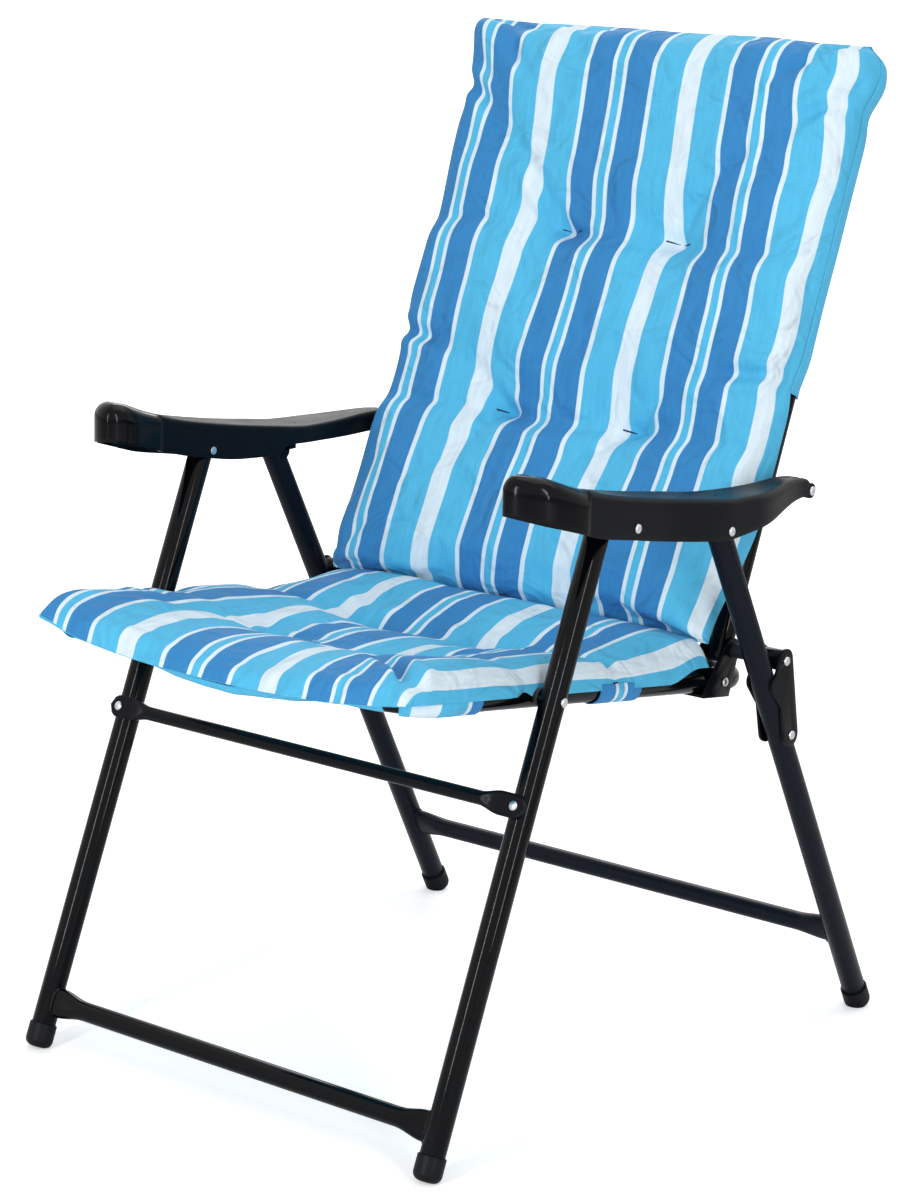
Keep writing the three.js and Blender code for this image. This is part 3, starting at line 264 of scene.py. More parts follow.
# Plain weave: threads over and under, from the cloth's own coordinates in metres
def weave_group():
    group, start, end = new_group(
        "plain_weave",
        [("Cloth", "NodeSocketVector", None), ("Threads", "NodeSocketFloat", 5200.0)],
        ["Height", "Shade"],
    )
    links = group.links
    split = add_node(group, "ShaderNodeSeparateXYZ")
    links.new(start.outputs["Cloth"], split.inputs[0])
    crossing = add_node(group, "ShaderNodeMath", "MULTIPLY")
    for i, axis in enumerate(("X", "Y")):
        scaled = add_node(group, "ShaderNodeMath", "MULTIPLY")
        links.new(split.outputs[axis], scaled.inputs[0])
        links.new(start.outputs["Threads"], scaled.inputs[1])
        wave = add_node(group, "ShaderNodeMath", "SINE")
        links.new(scaled.outputs[0], wave.inputs[0])
        links.new(wave.outputs[0], crossing.inputs[i])
    slub = add_node(group, "ShaderNodeTexNoise", Scale=260.0, Detail=2.0)
    stretched = add_node(group, "ShaderNodeVectorMath", "MULTIPLY", _1=(1.0, 0.12, 1.0))
    links.new(start.outputs["Cloth"], stretched.inputs[0])
    links.new(stretched.outputs[0], slub.inputs["Vector"])
    height = add_node(group, "ShaderNodeMath", "MULTIPLY_ADD", _1=0.5)
    links.new(crossing.outputs[0], height.inputs[0])
    links.new(slub.outputs["Fac"], height.inputs[2])
    shade = add_node(group, "ShaderNodeMapRange", From_Min=0.25, From_Max=0.75, To_Min=0.93, To_Max=1.05)
    links.new(slub.outputs["Fac"], shade.inputs["Value"])
    links.new(height.outputs[0], end.inputs["Height"])
    links.new(shade.outputs["Result"], end.inputs["Shade"])
    return group


coat_texture = coat_texture_group()
plain_weave = weave_group()


def place_group(material, group, **values):
    node = material.node_tree.nodes.new("ShaderNodeGroup")
    node.node_tree = group
    set_inputs(node, values)
    return node


# Bump that feeds the material's surface, on top of the bump under it
def bump_into(material, height, strength, distance, under=None):
    tree = material.node_tree
    bump = add_node(tree, "ShaderNodeBump", Strength=strength, Distance=distance)
    tree.links.new(height, bump.inputs["Height"])
    if under:
        tree.links.new(under, bump.inputs["Normal"])
    tree.links.new(bump.outputs["Normal"], tree.nodes["Principled BSDF"].inputs["Normal"])
    return bump.outputs["Normal"]


peel_height = 0.4 * MM
tint_shares = (0.85, 1.15)


# Coat whose colour and roughness change a little over the surface
def coated_material(name, colour, roughness, grain, strength, gloss, metallic=0.0):
    material = new_material(name, Metallic=metallic, Specular_IOR_Level=gloss)
    tree = material.node_tree
    surface, links = tree.nodes["Principled BSDF"], tree.links
    texture = place_group(material, coat_texture, Grain_Size=grain, Base_Roughness=roughness)
    links.new(texture.outputs["Roughness"], surface.inputs["Roughness"])
    tint = add_node(tree, "ShaderNodeTexNoise", Scale=14.0)
    place = add_node(tree, "ShaderNodeTexCoord")
    links.new(place.outputs["Object"], tint.inputs["Vector"])
    ramp = add_node(tree, "ShaderNodeValToRGB")
    for stop, share in zip(ramp.color_ramp.elements, tint_shares):
        stop.color = (*[min(1, value * share) for value in colour], 1)
    links.new(tint.outputs["Fac"], ramp.inputs["Fac"])
    links.new(ramp.outputs["Color"], surface.inputs["Base Color"])
    bump_into(material, texture.outputs["Height"], strength, peel_height)
    return material


# Stripes: widths across the cloth, from the middle of one triple stripe to the next
dark_blue = (0.036, 0.236, 0.54)
light_blue = (0.086, 0.485, 0.77)
off_white = (0.70, 0.83, 0.92)
stripe_repeat = 163.2 * MM
stripe_phase = -18.5 * MM
stripe_half = [
    (4 * MM, light_blue),
    (4.4 * MM, off_white),
    (27.4 * MM, dark_blue),
    (5.6 * MM, off_white),
    (30.6 * MM, light_blue),
]
stripe_widths = stripe_half + [(19.2 * MM, off_white)] + stripe_half[::-1]
crease_height = 13 * MM
weave_height = 0.25 * MM


def cloth_material(name, striped):
    material = new_material(
        name, Roughness=0.72, Specular_IOR_Level=0.22, Sheen_Weight=0.05, Sheen_Roughness=0.4
    )
    tree = material.node_tree
    links = tree.links
    cloth = add_node(tree, "ShaderNodeUVMap")
    cloth.uv_map = "cloth"
    weave = place_group(material, plain_weave)
    links.new(cloth.outputs["UV"], weave.inputs["Cloth"])
    ramp = add_node(tree, "ShaderNodeValToRGB")
    stops = ramp.color_ramp.elements
    if striped:
        split = add_node(tree, "ShaderNodeSeparateXYZ")
        links.new(cloth.outputs["UV"], split.inputs[0])
        shifted = add_node(tree, "ShaderNodeMath", "SUBTRACT", _1=stripe_phase)
        links.new(split.outputs["X"], shifted.inputs[0])
        share = add_node(tree, "ShaderNodeMath", "DIVIDE", _1=stripe_repeat)
        links.new(shifted.outputs[0], share.inputs[0])
        repeat = add_node(tree, "ShaderNodeMath", "FRACT")
        links.new(share.outputs[0], repeat.inputs[0])
        links.new(repeat.outputs[0], ramp.inputs["Fac"])
        ramp.color_ramp.interpolation = "CONSTANT"
        edge = 0.0
        for i, (width, colour) in enumerate(stripe_widths):
            stop = stops[i] if i < 2 else stops.new(edge / stripe_repeat)
            stop.position = edge / stripe_repeat
            stop.color = (*colour, 1)
            edge += width
    else:
        for stop in stops:
            stop.color = (*light_blue, 1)
    shaded = add_node(tree, "ShaderNodeMix")
    shaded.data_type = "RGBA"
    shaded.blend_type = "MULTIPLY"
    shaded.inputs["Factor"].default_value = 1.0
    links.new(ramp.outputs["Color"], shaded.inputs["A"])
    links.new(weave.outputs["Shade"], shaded.inputs["B"])
    links.new(shaded.outputs["Result"], tree.nodes["Principled BSDF"].inputs["Base Color"])
    creases = add_node(tree, "ShaderNodeTexNoise", Scale=19.0, Detail=2.0, Distortion=1.2)
    links.new(cloth.outputs["UV"], creases.inputs["Vector"])
    creased = bump_into(material, creases.outputs["Fac"], 0.9, crease_height)
    bump_into(material, weave.outputs["Height"], 0.35, weave_height, creased)
    return material


# Each coat's colour, roughness, grain, strength of its grain, gloss and, where it is bare metal, metalness
coats = {
    "gloss_black_tube": ((0.0015, 0.0018, 0.0026), 0.07, 900.0, 0.06, 0.14),
    "satin_black_tube": ((0.005, 0.007, 0.013), 0.27, 900.0, 0.06, 0.11),
    "black_plate": ((0.003, 0.0035, 0.005), 0.22, 1400.0, 0.1, 0.11),
    "arm_plastic": ((0.0015, 0.0018, 0.0028), 0.08, 2200.0, 0.03, 0.14),
    "arm_satin": ((0.0015, 0.002, 0.0035), 0.36, 2600.0, 0.12, 0.1),
    "cap_plastic": ((0.005, 0.0055, 0.007), 0.45, 1800.0, 0.14, 0.14),
    "nylon": ((0.015, 0.016, 0.018), 0.45, 1500.0, 0.06, 0.3),
    "zinc_steel": ((0.62, 0.63, 0.65), 0.28, 1600.0, 0.1, 0.5, 1.0),
    # Tuft threads: their near-black navy is painted shade of the fold at each stitch, partly thread and
    # partly shade
    "stitch_thread": ((0.006, 0.03, 0.09), 0.7, 1500.0, 0.06, 0.3),
}
finishes = {name: coated_material(name, *coat) for name, coat in coats.items()}
for name, striped in (("striped_cloth", True), ("liner_cloth", False)):
    finishes[name] = cloth_material(name, striped)


# Pads: a flat-cut sheet is laid over the foam's form, pinned at its seam and tufts, and simulated as cloth
def rounded_run(start, end, lead_in, lead_out, height):
    turn = np.linspace(0, np.pi / 2, 24)
    rise = np.stack([start + lead_in * (1 - np.cos(turn)), np.sin(turn)], 1)
    fall = np.stack([end - lead_out * (1 - np.cos(turn[::-1])), np.sin(turn[::-1])], 1)
    line = np.concatenate([rise, fall])
    length = np.hypot(np.diff(line[:, 0]), np.diff(line[:, 1]) * height)
    arc = np.concatenate([[0], np.cumsum(length)])
    count = int(round(arc[-1] / pad_step))
    places = np.linspace(0, arc[-1], count + 1)
    return places, np.interp(places, arc, line[:, 0]), np.interp(places, arc, line[:, 1])


def smooth_step(t):
    t = np.clip(t, 0, 1)
    return t * t * (3 - 2 * t)


def hump(t, width):
    return np.exp(-((t / width) ** 2))


# Repeatable smooth noise, from crossed waves of fixed direction
def wave_noise(x, y, scale, seed, waves=9):
    rng = np.random.default_rng(seed)
    total = np.zeros_like(x)
    for _ in range(waves):
        angle, phase = rng.uniform(0, 2 * np.pi, 2)
        length = scale * rng.uniform(0.7, 1.5)
        total += np.sin((x * np.cos(angle) + y * np.sin(angle)) * 2 * np.pi / length + phase)
    return total / np.sqrt(waves)


# Depth of a fold line between two places, deepest at its start and fading out along it
def fold_line(x, y, fold):
    x0, y0, x1, y1, depth, width = [value * MM for value in fold]
    dx, dy = x1 - x0, y1 - y0
    length = math.hypot(dx, dy)
    along = ((x - x0) * dx + (y - y0) * dy) / length
    off = ((y - y0) * dx - (x - x0) * dy) / length
    share = along / length
    fade = smooth_step(share * 6 + 1) * smooth_step((1 - share) * 1.6)
    ridge = hump(off - 1.6 * width, width) + hump(off + 1.6 * width, width)
    return depth * fade * (hump(off, width) - 0.45 * ridge)


stitch_half = 11 * MM


# Cloth drawn down to a short stitched line
def tuft_pull(x, y, at_x, at_y, depth, reach):
    dx = np.maximum(np.abs(x - at_x) - stitch_half, 0)
    distance = np.hypot(dx, y - at_y)
    return depth * np.exp(-distance / reach)


def local_places(x, y, height, stand):
    return np.stack([x, -height, y] if stand else [x, y, height], -1)


def moved(places, axes):
    turn = np.array(axes)
    return places @ turn[:3, :3].T + turn[:3, 3]


# Cloth of the pads: cut a little larger than the foam, blown up softly and left to settle
cloth_slack_share = 0.03
cloth_frames = 20
cloth_settings = {
    "quality": 5,
    "mass": 0.25,
    "air_damping": 2.0,
    "tension_stiffness": 12,
    "compression_stiffness": 12,
    "shear_stiffness": 6,
    "bending_stiffness": 0.6,
    "use_pressure": True,
    "uniform_pressure_force": 4,
}


# One pad's face and underside, on a grid of rows along it and columns across it
class PadForm:
    def __init__(self, name, axes, stand, across, along, width_at, top_at, seam_at):
        self.name, self.axes, self.stand = name, axes, stand
        a, x_share, z_a = across
        b, y, z_b = along
        self.cloth = np.stack(np.meshgrid(a - a[-1] / 2, b), -1)
        share, run = np.meshgrid(x_share, y)
        self.x, self.y = width_at(share, run), run
        rise = np.outer(z_b, z_a)
        seam = seam_at(self.x, self.y)
        self.height = seam + (top_at(self.x, self.y) - seam) * rise
        self.under = seam
        self.rows, self.columns = self.x.shape
        self.border = np.ones(self.x.shape, bool)
        self.border[1:-1, 1:-1] = False

    # Where the printed stripes lie on the cut cloth
    def shift_stripes(self, shift):
        self.print = self.cloth.copy()
        self.print[..., 0] += shift(self.cloth[..., 0], self.y)

    def places(self, height):
        flat = local_places(self.x, self.y, height, self.stand).reshape(-1, 3)
        return moved(flat, self.axes)

    def numbers(self):
        return np.arange(self.rows * self.columns).reshape(self.rows, self.columns)

    def quads(self):
        index = self.numbers()
        corners = [index[:-1, :-1], index[:-1, 1:], index[1:, 1:], index[1:, :-1]]
        return np.stack(corners, -1).reshape(-1, 4)

    def border_loop(self):
        index = self.numbers()
        return np.concatenate([index[0, :], index[1:, -1], index[-1, -2::-1], index[-2:0:-1, 0]])

    # Pins are the seam and the stitched lines; the cloth between is cut larger than the span it covers
    def simulate(self, stitches, cap):
        start = self.places(self.height)
        held = self.border.copy()
        for at_x, at_y in stitches:
            row = np.argmin(np.abs(self.y[:, self.columns // 2] - at_y))
            held[row] |= np.abs(self.x[row] - at_x) < stitch_half
        mesh = bpy.data.meshes.new("cloth_run")
        faces = self.quads().tolist() + [self.border_loop()[::-1].tolist()]
        mesh.from_pydata(start.tolist(), [], faces)
        run = bpy.data.objects.new("cloth_run", mesh)
        bpy.context.scene.collection.objects.link(run)
        run.shape_key_add(name="start")
        cut = run.shape_key_add(name="cut")
        flat = self.cloth.reshape(-1, 2) * (1 + cloth_slack_share)
        cut.data.foreach_set("co", np.column_stack([flat, np.zeros(len(flat))]).reshape(-1))
        pins = run.vertex_groups.new(name="pins")
        pins.add(np.flatnonzero(held.reshape(-1)).tolist(), 1.0, "REPLACE")
        cloth = run.modifiers.new("cloth", "CLOTH")
        settings = cloth.settings
        for setting, value in cloth_settings.items():
            setattr(settings, setting, value)
        settings.effector_weights.gravity = 0
        settings.vertex_group_mass = "pins"
        settings.rest_shape_key = cut
        cloth.collision_settings.use_collision = False
        cloth.point_cache.frame_start = 1
        cloth.point_cache.frame_end = cloth_frames
        scene = bpy.context.scene
        for frame_number in range(1, cloth_frames + 1):
            scene.frame_set(frame_number)
        evaluated = run.evaluated_get(bpy.context.evaluated_depsgraph_get())
        result = np.zeros(len(start) * 3)
        evaluated.data.vertices.foreach_get("co", result)
        result = result.reshape(-1, 3)
        scene.frame_set(1)
        bpy.data.objects.remove(run)
        bpy.data.meshes.remove(mesh)
        move = result - start
        far = np.linalg.norm(move, axis=1, keepdims=True)
        print(self.name, "cloth moved mm: mean %.1f max %.1f" % (far.mean() / MM, far.max() / MM))
        return start + move * np.minimum(1, cap / np.maximum(far, 1e-9))

    def build(self, face_places):
        count = self.rows * self.columns
        quads = self.quads()
        lower = np.where(self.border.reshape(-1), np.arange(count), np.arange(count) + count)
        faces = np.concatenate([quads, lower[quads][:, ::-1]])
        places = np.concatenate([face_places, self.places(self.under)])
        used, inverse = np.unique(faces, return_inverse=True)
        mesh = bpy.data.meshes.new(self.name)
        mesh.from_pydata(places[used].tolist(), [], inverse.reshape(-1, 4).tolist())
        piece = bpy.data.objects.new(self.name, mesh)
        bpy.context.scene.collection.objects.link(piece)
        mesh.materials.append(finishes["striped_cloth"])
        mesh.materials.append(finishes["liner_cloth"])
        material_index = np.zeros(len(faces), np.int32)
        material_index[len(quads):] = 1
        mesh.polygons.foreach_set("material_index", material_index)
        mesh.polygons.foreach_set("use_smooth", np.ones(len(faces), bool))
        layer = mesh.uv_layers.new(name="cloth")
        printed = self.print.reshape(-1, 2)
        printed = np.concatenate([printed, printed])[faces.reshape(-1)]
        layer.data.foreach_set("uv", printed.reshape(-1))
        mesh.update()
        smooth = piece.modifiers.new("smooth", "SUBSURF")
        smooth.levels = smooth.render_levels = 1
        return piece


# Smooth line through a table of places, without overshoot
def table_line(table, at):
    places, values = np.array(table).T
    step = np.diff(values) / np.diff(places)
    slope = np.zeros(len(places))
    same = step[:-1] * step[1:] > 0
    slope[1:-1] = np.where(same, 2 * step[:-1] * step[1:] / np.where(same, step[:-1] + step[1:], 1), 0)
    slope[0], slope[-1] = step[0], step[-1]
    i = np.clip(np.searchsorted(places, at) - 1, 0, len(places) - 2)
    width = places[i + 1] - places[i]
    t = np.clip((at - places[i]) / width, 0, 1)
    return (
        values[i] * (1 + 2 * t) * (1 - t) ** 2 + width * slope[i] * t * (1 - t) ** 2
        + values[i + 1] * t**2 * (3 - 2 * t) + width * slope[i + 1] * t**2 * (t - 1)
    )


# Metalwork and plastics, each shaped from a primitive in its own frame and then stood in the chair
tube_radius = 11 * MM
tube_wall = 1.2 * MM
front_leg_x = 227 * MM
rear_leg_x = 257 * MM
rail_x = 200 * MM
arm_inner_x = 213.2 * MM
arm_outer_x = 265.2 * MM
arm_eye_inner_x = 229 * MM
arm_rear_x = 252 * MM
fit_gap = 0.3 * MM
merge_gap = 0.02 * MM
arm_pivot_up_leg = (arm_pivot - front_foot).length
rear_leg_length = (rear_pivot - rear_foot).length
arm_end = back_pivot + (arm_pivot - seat_pivot)
in_place = Matrix.Identity(4)

# Bodies that the left and the right piece of a pair ride on
both_front = ("front_frame",) * 2
both_seat = ("seat_frame",) * 2
both_back = ("back_frame",) * 2
both_rear = ("rear_frame",) * 2
arm_bodies = ("arm_left", "arm_right")
link_bodies = ("link_left", "link_right")


def clear_selection():
    if bpy.context.object and bpy.context.object.mode != "OBJECT":
        bpy.ops.object.mode_set(mode="OBJECT")
    bpy.ops.object.select_all(action="DESELECT")


def choose(piece):
    clear_selection()
    piece.select_set(True)
    bpy.context.view_layer.objects.active = piece


def edit_all(piece):
    choose(piece)
    bpy.ops.object.mode_set(mode="EDIT")
    bpy.ops.mesh.select_all(action="SELECT")


def stop_editing():
    bpy.ops.object.mode_set(mode="OBJECT")


def pick(piece, test):
    stop_editing()
    bpy.context.tool_settings.mesh_select_mode = (True, False, False)
    for polygon in piece.data.polygons:
        polygon.select = False
    for edge in piece.data.edges:
        edge.select = False
    for vertex in piece.data.vertices:
        vertex.select = bool(test(vertex.co))
    bpy.ops.object.mode_set(mode="EDIT")
    bpy.context.tool_settings.mesh_select_mode = (True, False, False)


# Extrudes what is selected, in equal steps
def push(x, y, z, steps=1):
    for _ in range(steps):
        move = (x / steps, y / steps, z / steps)
        bpy.ops.mesh.extrude_region_move(TRANSFORM_OT_translate={"value": move})


def smooth_off(piece, angle=35):
    choose(piece)
    bpy.ops.object.shade_smooth_by_angle(angle=math.radians(angle))


def apply_modifier(piece, modifier):
    choose(piece)
    bpy.ops.object.modifier_apply(modifier=modifier.name)


def bevel_all(piece, width, segments=2, angle=35):
    bevel = piece.modifiers.new("soft_edges", "BEVEL")
    bevel.width = width
    bevel.segments = segments
    bevel.limit_method = "ANGLE"
    bevel.angle_limit = math.radians(angle)
    apply_modifier(piece, bevel)


def reshape(piece, change):
    count = len(piece.data.vertices)
    places = np.zeros(count * 3)
    piece.data.vertices.foreach_get("co", places)
    places = change(places.reshape(-1, 3).copy())
    piece.data.vertices.foreach_set("co", places.reshape(-1))
    piece.data.update()


def joined(pieces):
    clear_selection()
    for piece in pieces:
        piece.select_set(True)
    bpy.context.view_layer.objects.active = pieces[0]
    bpy.ops.object.join()
    return pieces[0]


# The primitive just added, with its place and turn made part of its mesh
def settled():
    bpy.ops.object.transform_apply(location=True, rotation=True, scale=True)
    return bpy.context.object


def new_bar(radius, length, sides=40, x=0.0, y=0.0, z=0.0):
    clear_selection()
    middle = (x, y, z + length / 2)
    bpy.ops.mesh.primitive_cylinder_add(vertices=sides, radius=radius, depth=length, location=middle)
    return settled()


# A bar modelled upright is laid across the chair, from a place along X
def lay_across(bar, from_x, y=0.0, z=0.0):
    bar.data.transform(Matrix.Rotation(math.pi / 2, 4, "Y"))
    bar.data.transform(Matrix.Translation((from_x, y, z)))


def turn_over(piece):
    piece.data.transform(Matrix.Scale(-1, 4, (1, 0, 0)))
    piece.data.flip_normals()


# Copy for the chair's right side, with its own mesh
def other_side(piece):
    copy = piece.copy()
    copy.data = piece.data.copy()
    bpy.context.scene.collection.objects.link(copy)
    turn_over(copy)
    return copy


# Stands a finished piece in the chair, names it and has it take the place of its CAD node
def finish(piece, name, axes, body, slot, node=None):
    piece.name = piece.data.name = name + "_finished"
    piece.data.transform(axes)
    piece.data.materials.clear()
    piece.data.materials.append(finishes[slot])
    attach(piece, body)
    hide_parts(node or name)
    return piece


def finish_pair(piece, name, axes, bodies, slot):
    pair = ((other_side(piece), "_right", bodies[1]), (piece, "_left", bodies[0]))
    return [finish(made, name + side, axes, body, slot) for made, side, body in pair]


# Sinks a bore of one wall's thickness into both ends of an upright bar
def bore_ends(bar, low, high, wall, depth):
    for end, inward in ((low, 1), (high, -1)):
        pick(bar, lambda co: abs(co.z - end) < 0.01 * MM)
        bpy.ops.mesh.inset(thickness=wall)
        push(0, 0, inward * depth)
        stop_editing()


bore_depth = 12 * MM
tube_end_round = 0.35 * MM


def open_tube(length, x, z):
    tube = new_bar(tube_radius, length, 48, x, 0, z)
    bore_ends(tube, z, z + length, tube_wall, bore_depth)
    bevel_all(tube, tube_end_round)
    smooth_off(tube)
    return tube


# Ring of a tube's section, to be extruded and spun along its run
def start_ring(centre, turn):
    clear_selection()
    bpy.ops.mesh.primitive_circle_add(vertices=40, radius=tube_radius, location=centre, rotation=turn)
    ring = settled()
    edit_all(ring)
    return ring


# The spin operator turns the other way round its axis than a rotation matrix does
def turn_about(centre, axis, degrees, steps=14):
    bpy.ops.mesh.spin(steps=steps, angle=-math.radians(degrees), center=centre, axis=axis)


def close_tube(tube):
    stop_editing()
    mirror = tube.modifiers.new("other_half", "MIRROR")
    mirror.merge_threshold = merge_gap
    apply_modifier(tube, mirror)
    edit_all(tube)
    bpy.ops.mesh.remove_doubles(threshold=merge_gap)
    bpy.ops.mesh.fill_holes(sides=0)
    bpy.ops.mesh.normals_make_consistent(inside=False)
    stop_editing()
    smooth_off(tube)


# Seat ring, bent from one tube and butted in the middle of the rear bar
seat_ring_corner = 36 * MM
seat_ring_front = -155 * MM
seat_ring_rear = 326 * MM
front_bar_half = rail_x - seat_ring_corner
front_bar_bow = 7 * MM


# How far the front bar bows down under the sitter's knees
def front_bar_drop(x):
    return front_bar_bow * (1 + np.cos(np.pi * np.minimum(1, np.abs(x) / front_bar_half)))


def add_seat_ring():
    corner = seat_ring_corner
    front, rear = seat_ring_front, seat_ring_rear
    ring = start_ring((fit_gap, rear, 0), (0, math.pi / 2, 0))
    push(0, 0, 0)
    push(front_bar_half - fit_gap, 0, 0, 2)
    turn_about((front_bar_half, rear - corner, 0), (0, 0, 1), -90)
    push(0, front - rear + 2 * corner, 0, 4)
    turn_about((front_bar_half, front + corner, 0), (0, 0, 1), -90)
    push(-front_bar_half, 0, 0, 10)
    close_tube(ring)

    def bow(places):
        near_front = smooth_step((-places[:, 1] - 118 * MM) / (20 * MM))
        places[:, 2] -= front_bar_drop(places[:, 0]) * near_front
        return places

    reshape(ring, bow)
    smooth_off(ring)
    finish(ring, "seat_ring_tube", seat_axes, "seat_frame", "gloss_black_tube")


# Hoop of the back, from its open lower ends round two corners
hoop_corner = 60 * MM
hoop_low = -10 * MM
hoop_high = 547 * MM


def add_back_tube():
    tube = start_ring((rail_x, 0, hoop_low), (0, 0, 0))
    push(0, 0, hoop_high - hoop_low - hoop_corner, 6)
    turn_about((rail_x - hoop_corner, 0, hoop_high - hoop_corner), (0, 1, 0), -90)
    push(hoop_corner - rail_x, 0, 0, 3)
    close_tube(tube)
    finish(tube, "back_hoop_tube", back_axes, "back_frame", "gloss_black_tube", "back_tube")


# Legs, from inside their foot caps to past their upper rivets
leg_above_floor = 5.3 * MM
leg_past_rivet = 12 * MM


def add_legs():
    length = arm_pivot_up_leg + leg_past_rivet - leg_above_floor
    leg = open_tube(length, front_leg_x, leg_above_floor)
    finish_pair(leg, "front_leg", front_axes, both_front, "gloss_black_tube")
    low = -rear_leg_length + leg_above_floor
    leg = open_tube(leg_past_rivet - low, rear_leg_x, low)
    finish_pair(leg, "rear_leg", rear_axes, both_rear, "satin_black_tube")


# Push-on foot cap with a rolled lip and a rounded sole, cut level where it meets the floor
cap_radius = 12.5 * MM
cap_height = 21.4 * MM
cap_above_floor = 0.9 * MM
cap_sole_round = 7 * MM
cap_lip = 0.7 * MM
cap_lip_rise = 0.5 * MM
cap_mouth_depth = 4 * MM
sole_level = 0.05 * MM


def add_foot_caps():
    for name, axes, x, floor_z, bodies in (
        ("front_foot_cap", front_axes, front_leg_x, 0.0, both_front),
        ("rear_foot_cap", rear_axes, rear_leg_x, -rear_leg_length, both_rear),
    ):
        low = floor_z + cap_above_floor
        high = low + cap_height
        cap = new_bar(cap_radius, cap_height, 48, x, 0, low)
        pick(cap, lambda co: co.z < low + 0.1 * MM)
        bpy.ops.mesh.bevel(offset=cap_sole_round, segments=8, affect="EDGES", profile=0.5)
        pick(cap, lambda co: co.z > high - 0.1 * MM)
        for rise in (cap_lip_rise, -cap_mouth_depth):
            bpy.ops.mesh.inset(thickness=cap_lip)
            push(0, 0, rise)
        stop_editing()
        cap.data.transform(axes)
        edit_all(cap)
        bpy.ops.mesh.bisect(
            plane_co=(0, 0, sole_level), plane_no=(0, 0, 1), use_fill=True, clear_inner=True
        )
        stop_editing()
        smooth_off(cap, 40)
        finish_pair(cap, name, in_place, bodies, "cap_plastic")


# Round section pressed towards a flatter and squarer one, by a share that may change along the bar
def pressed(places, radius, press, half_deep, half_tall, power, centre):
    deep = radius + (half_deep - radius) * press
    tall = radius + (half_tall - radius) * press
    y, z = places[:, 1] - centre[0], places[:, 2] - centre[1]
    angle = np.arctan2(z, y)
    sharp = 2 / (2 + (power - 2) * press)
    level = np.hypot(y, z) / radius
    places[:, 1] = centre[0] + level * deep * rounded_share(np.cos(angle), sharp)
    places[:, 2] = centre[1] + level * tall * rounded_share(np.sin(angle), sharp)
    return places


def rounded_share(share, power):
    return np.sign(share) * np.abs(share) ** power


# Bar along X made of many short lengths, ready to be pressed flat near its ends
def cross_bar(radius, half_length, y, z, steps):
    clear_selection()
    bpy.ops.mesh.primitive_circle_add(
        vertices=40, radius=radius, fill_type="NGON", location=(-half_length, y, z),
        rotation=(0, math.pi / 2, 0),
    )
    bar = settled()
    edit_all(bar)
    push(2 * half_length, 0, 0, steps)
    bpy.ops.mesh.select_all(action="SELECT")
    bpy.ops.mesh.normals_make_consistent(inside=False)
    stop_editing()
    return bar


# Crossbars: pressed tall at both ends, coped round the legs and run over with a weld bead
crossbar_radius = 8.8 * MM
crossbar_deep = 6.4 * MM
crossbar_tall = 13.4 * MM
crossbar_overlap = 4 * MM
cope_radius = 10.6 * MM
flare_start = 44 * MM
flare_run = 31 * MM
bead_radius = 1.7 * MM
bead_ring = 8 * MM
bead_deep = 6.6 * MM
bead_tall = 13.2 * MM
bead_seat = 10.9 * MM
bead_inset = 10.4 * MM
front_crossbar_z = 44.2 * MM
rear_crossbar_z = -rear_leg_length + 84 * MM / math.cos(rear_lean)


def add_weld_bead(side, x, z):
    clear_selection()
    bpy.ops.mesh.primitive_torus_add(
        location=(side * (x - bead_inset), 0, z), rotation=(0, math.pi / 2, 0),
        major_radius=bead_ring, minor_radius=bead_radius, major_segments=64, minor_segments=12,
    )
    bead = settled()

    def weld(places):
        y, up = places[:, 1], places[:, 2] - z
        angle = np.arctan2(up, y)
        ripple = 1 + 0.1 * np.sin(angle * 19)
        near_y = (y - bead_ring * np.cos(angle)) * ripple
        near_z = (up - bead_ring * np.sin(angle)) * ripple
        wide_y = bead_deep * rounded_share(np.cos(angle), 0.65)
        wide_z = bead_tall * rounded_share(np.sin(angle), 0.65)
        back = x - np.sqrt(bead_seat**2 - np.minimum(np.abs(wide_y), 10 * MM) ** 2)
        places[:, 0] += side * (back - (x - bead_inset))
        places[:, 1], places[:, 2] = wide_y + near_y, z + wide_z + near_z
        return places

    reshape(bead, weld)
    smooth_off(bead, 60)
    return bead


def add_welded_crossbars():
    for name, axes, x, z, body, slot in (
        ("lower_crossbar", front_axes, front_leg_x, front_crossbar_z, "front_frame", "gloss_black_tube"),
        ("rear_crossbar", rear_axes, rear_leg_x, rear_crossbar_z, "rear_frame", "satin_black_tube"),
    ):
        bar = cross_bar(crossbar_radius, x - crossbar_overlap, 0, z, 90)

        def flare(places):
            reach = np.abs(places[:, 0])
            press = smooth_step((reach - (x - flare_start)) / flare_run)
            places = pressed(places, crossbar_radius, press, crossbar_deep, crossbar_tall, 3.2, (0, z))
            end = reach > x - 11.2 * MM
            limit = x - np.sqrt(np.maximum(cope_radius**2 - places[:, 1] ** 2, 0))
            places[end, 0] = np.sign(places[end, 0]) * np.minimum(reach, limit)[end]
            return places

        reshape(bar, flare)
        smooth_off(bar, 50)
        beads = [add_weld_bead(side, x, z) for side in (-1, 1)]
        finish(joined([bar, *beads]), name, axes, body, slot)


# Upper strap: a rod pressed flat at its ends, with a crimp where it narrows
strap_up_leg = 317 * MM
strap_radius = 6.2 * MM
strap_half_thick = 2.2 * MM
strap_end = 10.4 * MM
strap_y = -(tube_radius + fit_gap + strap_half_thick)
crimp_depth = 1.5 * MM


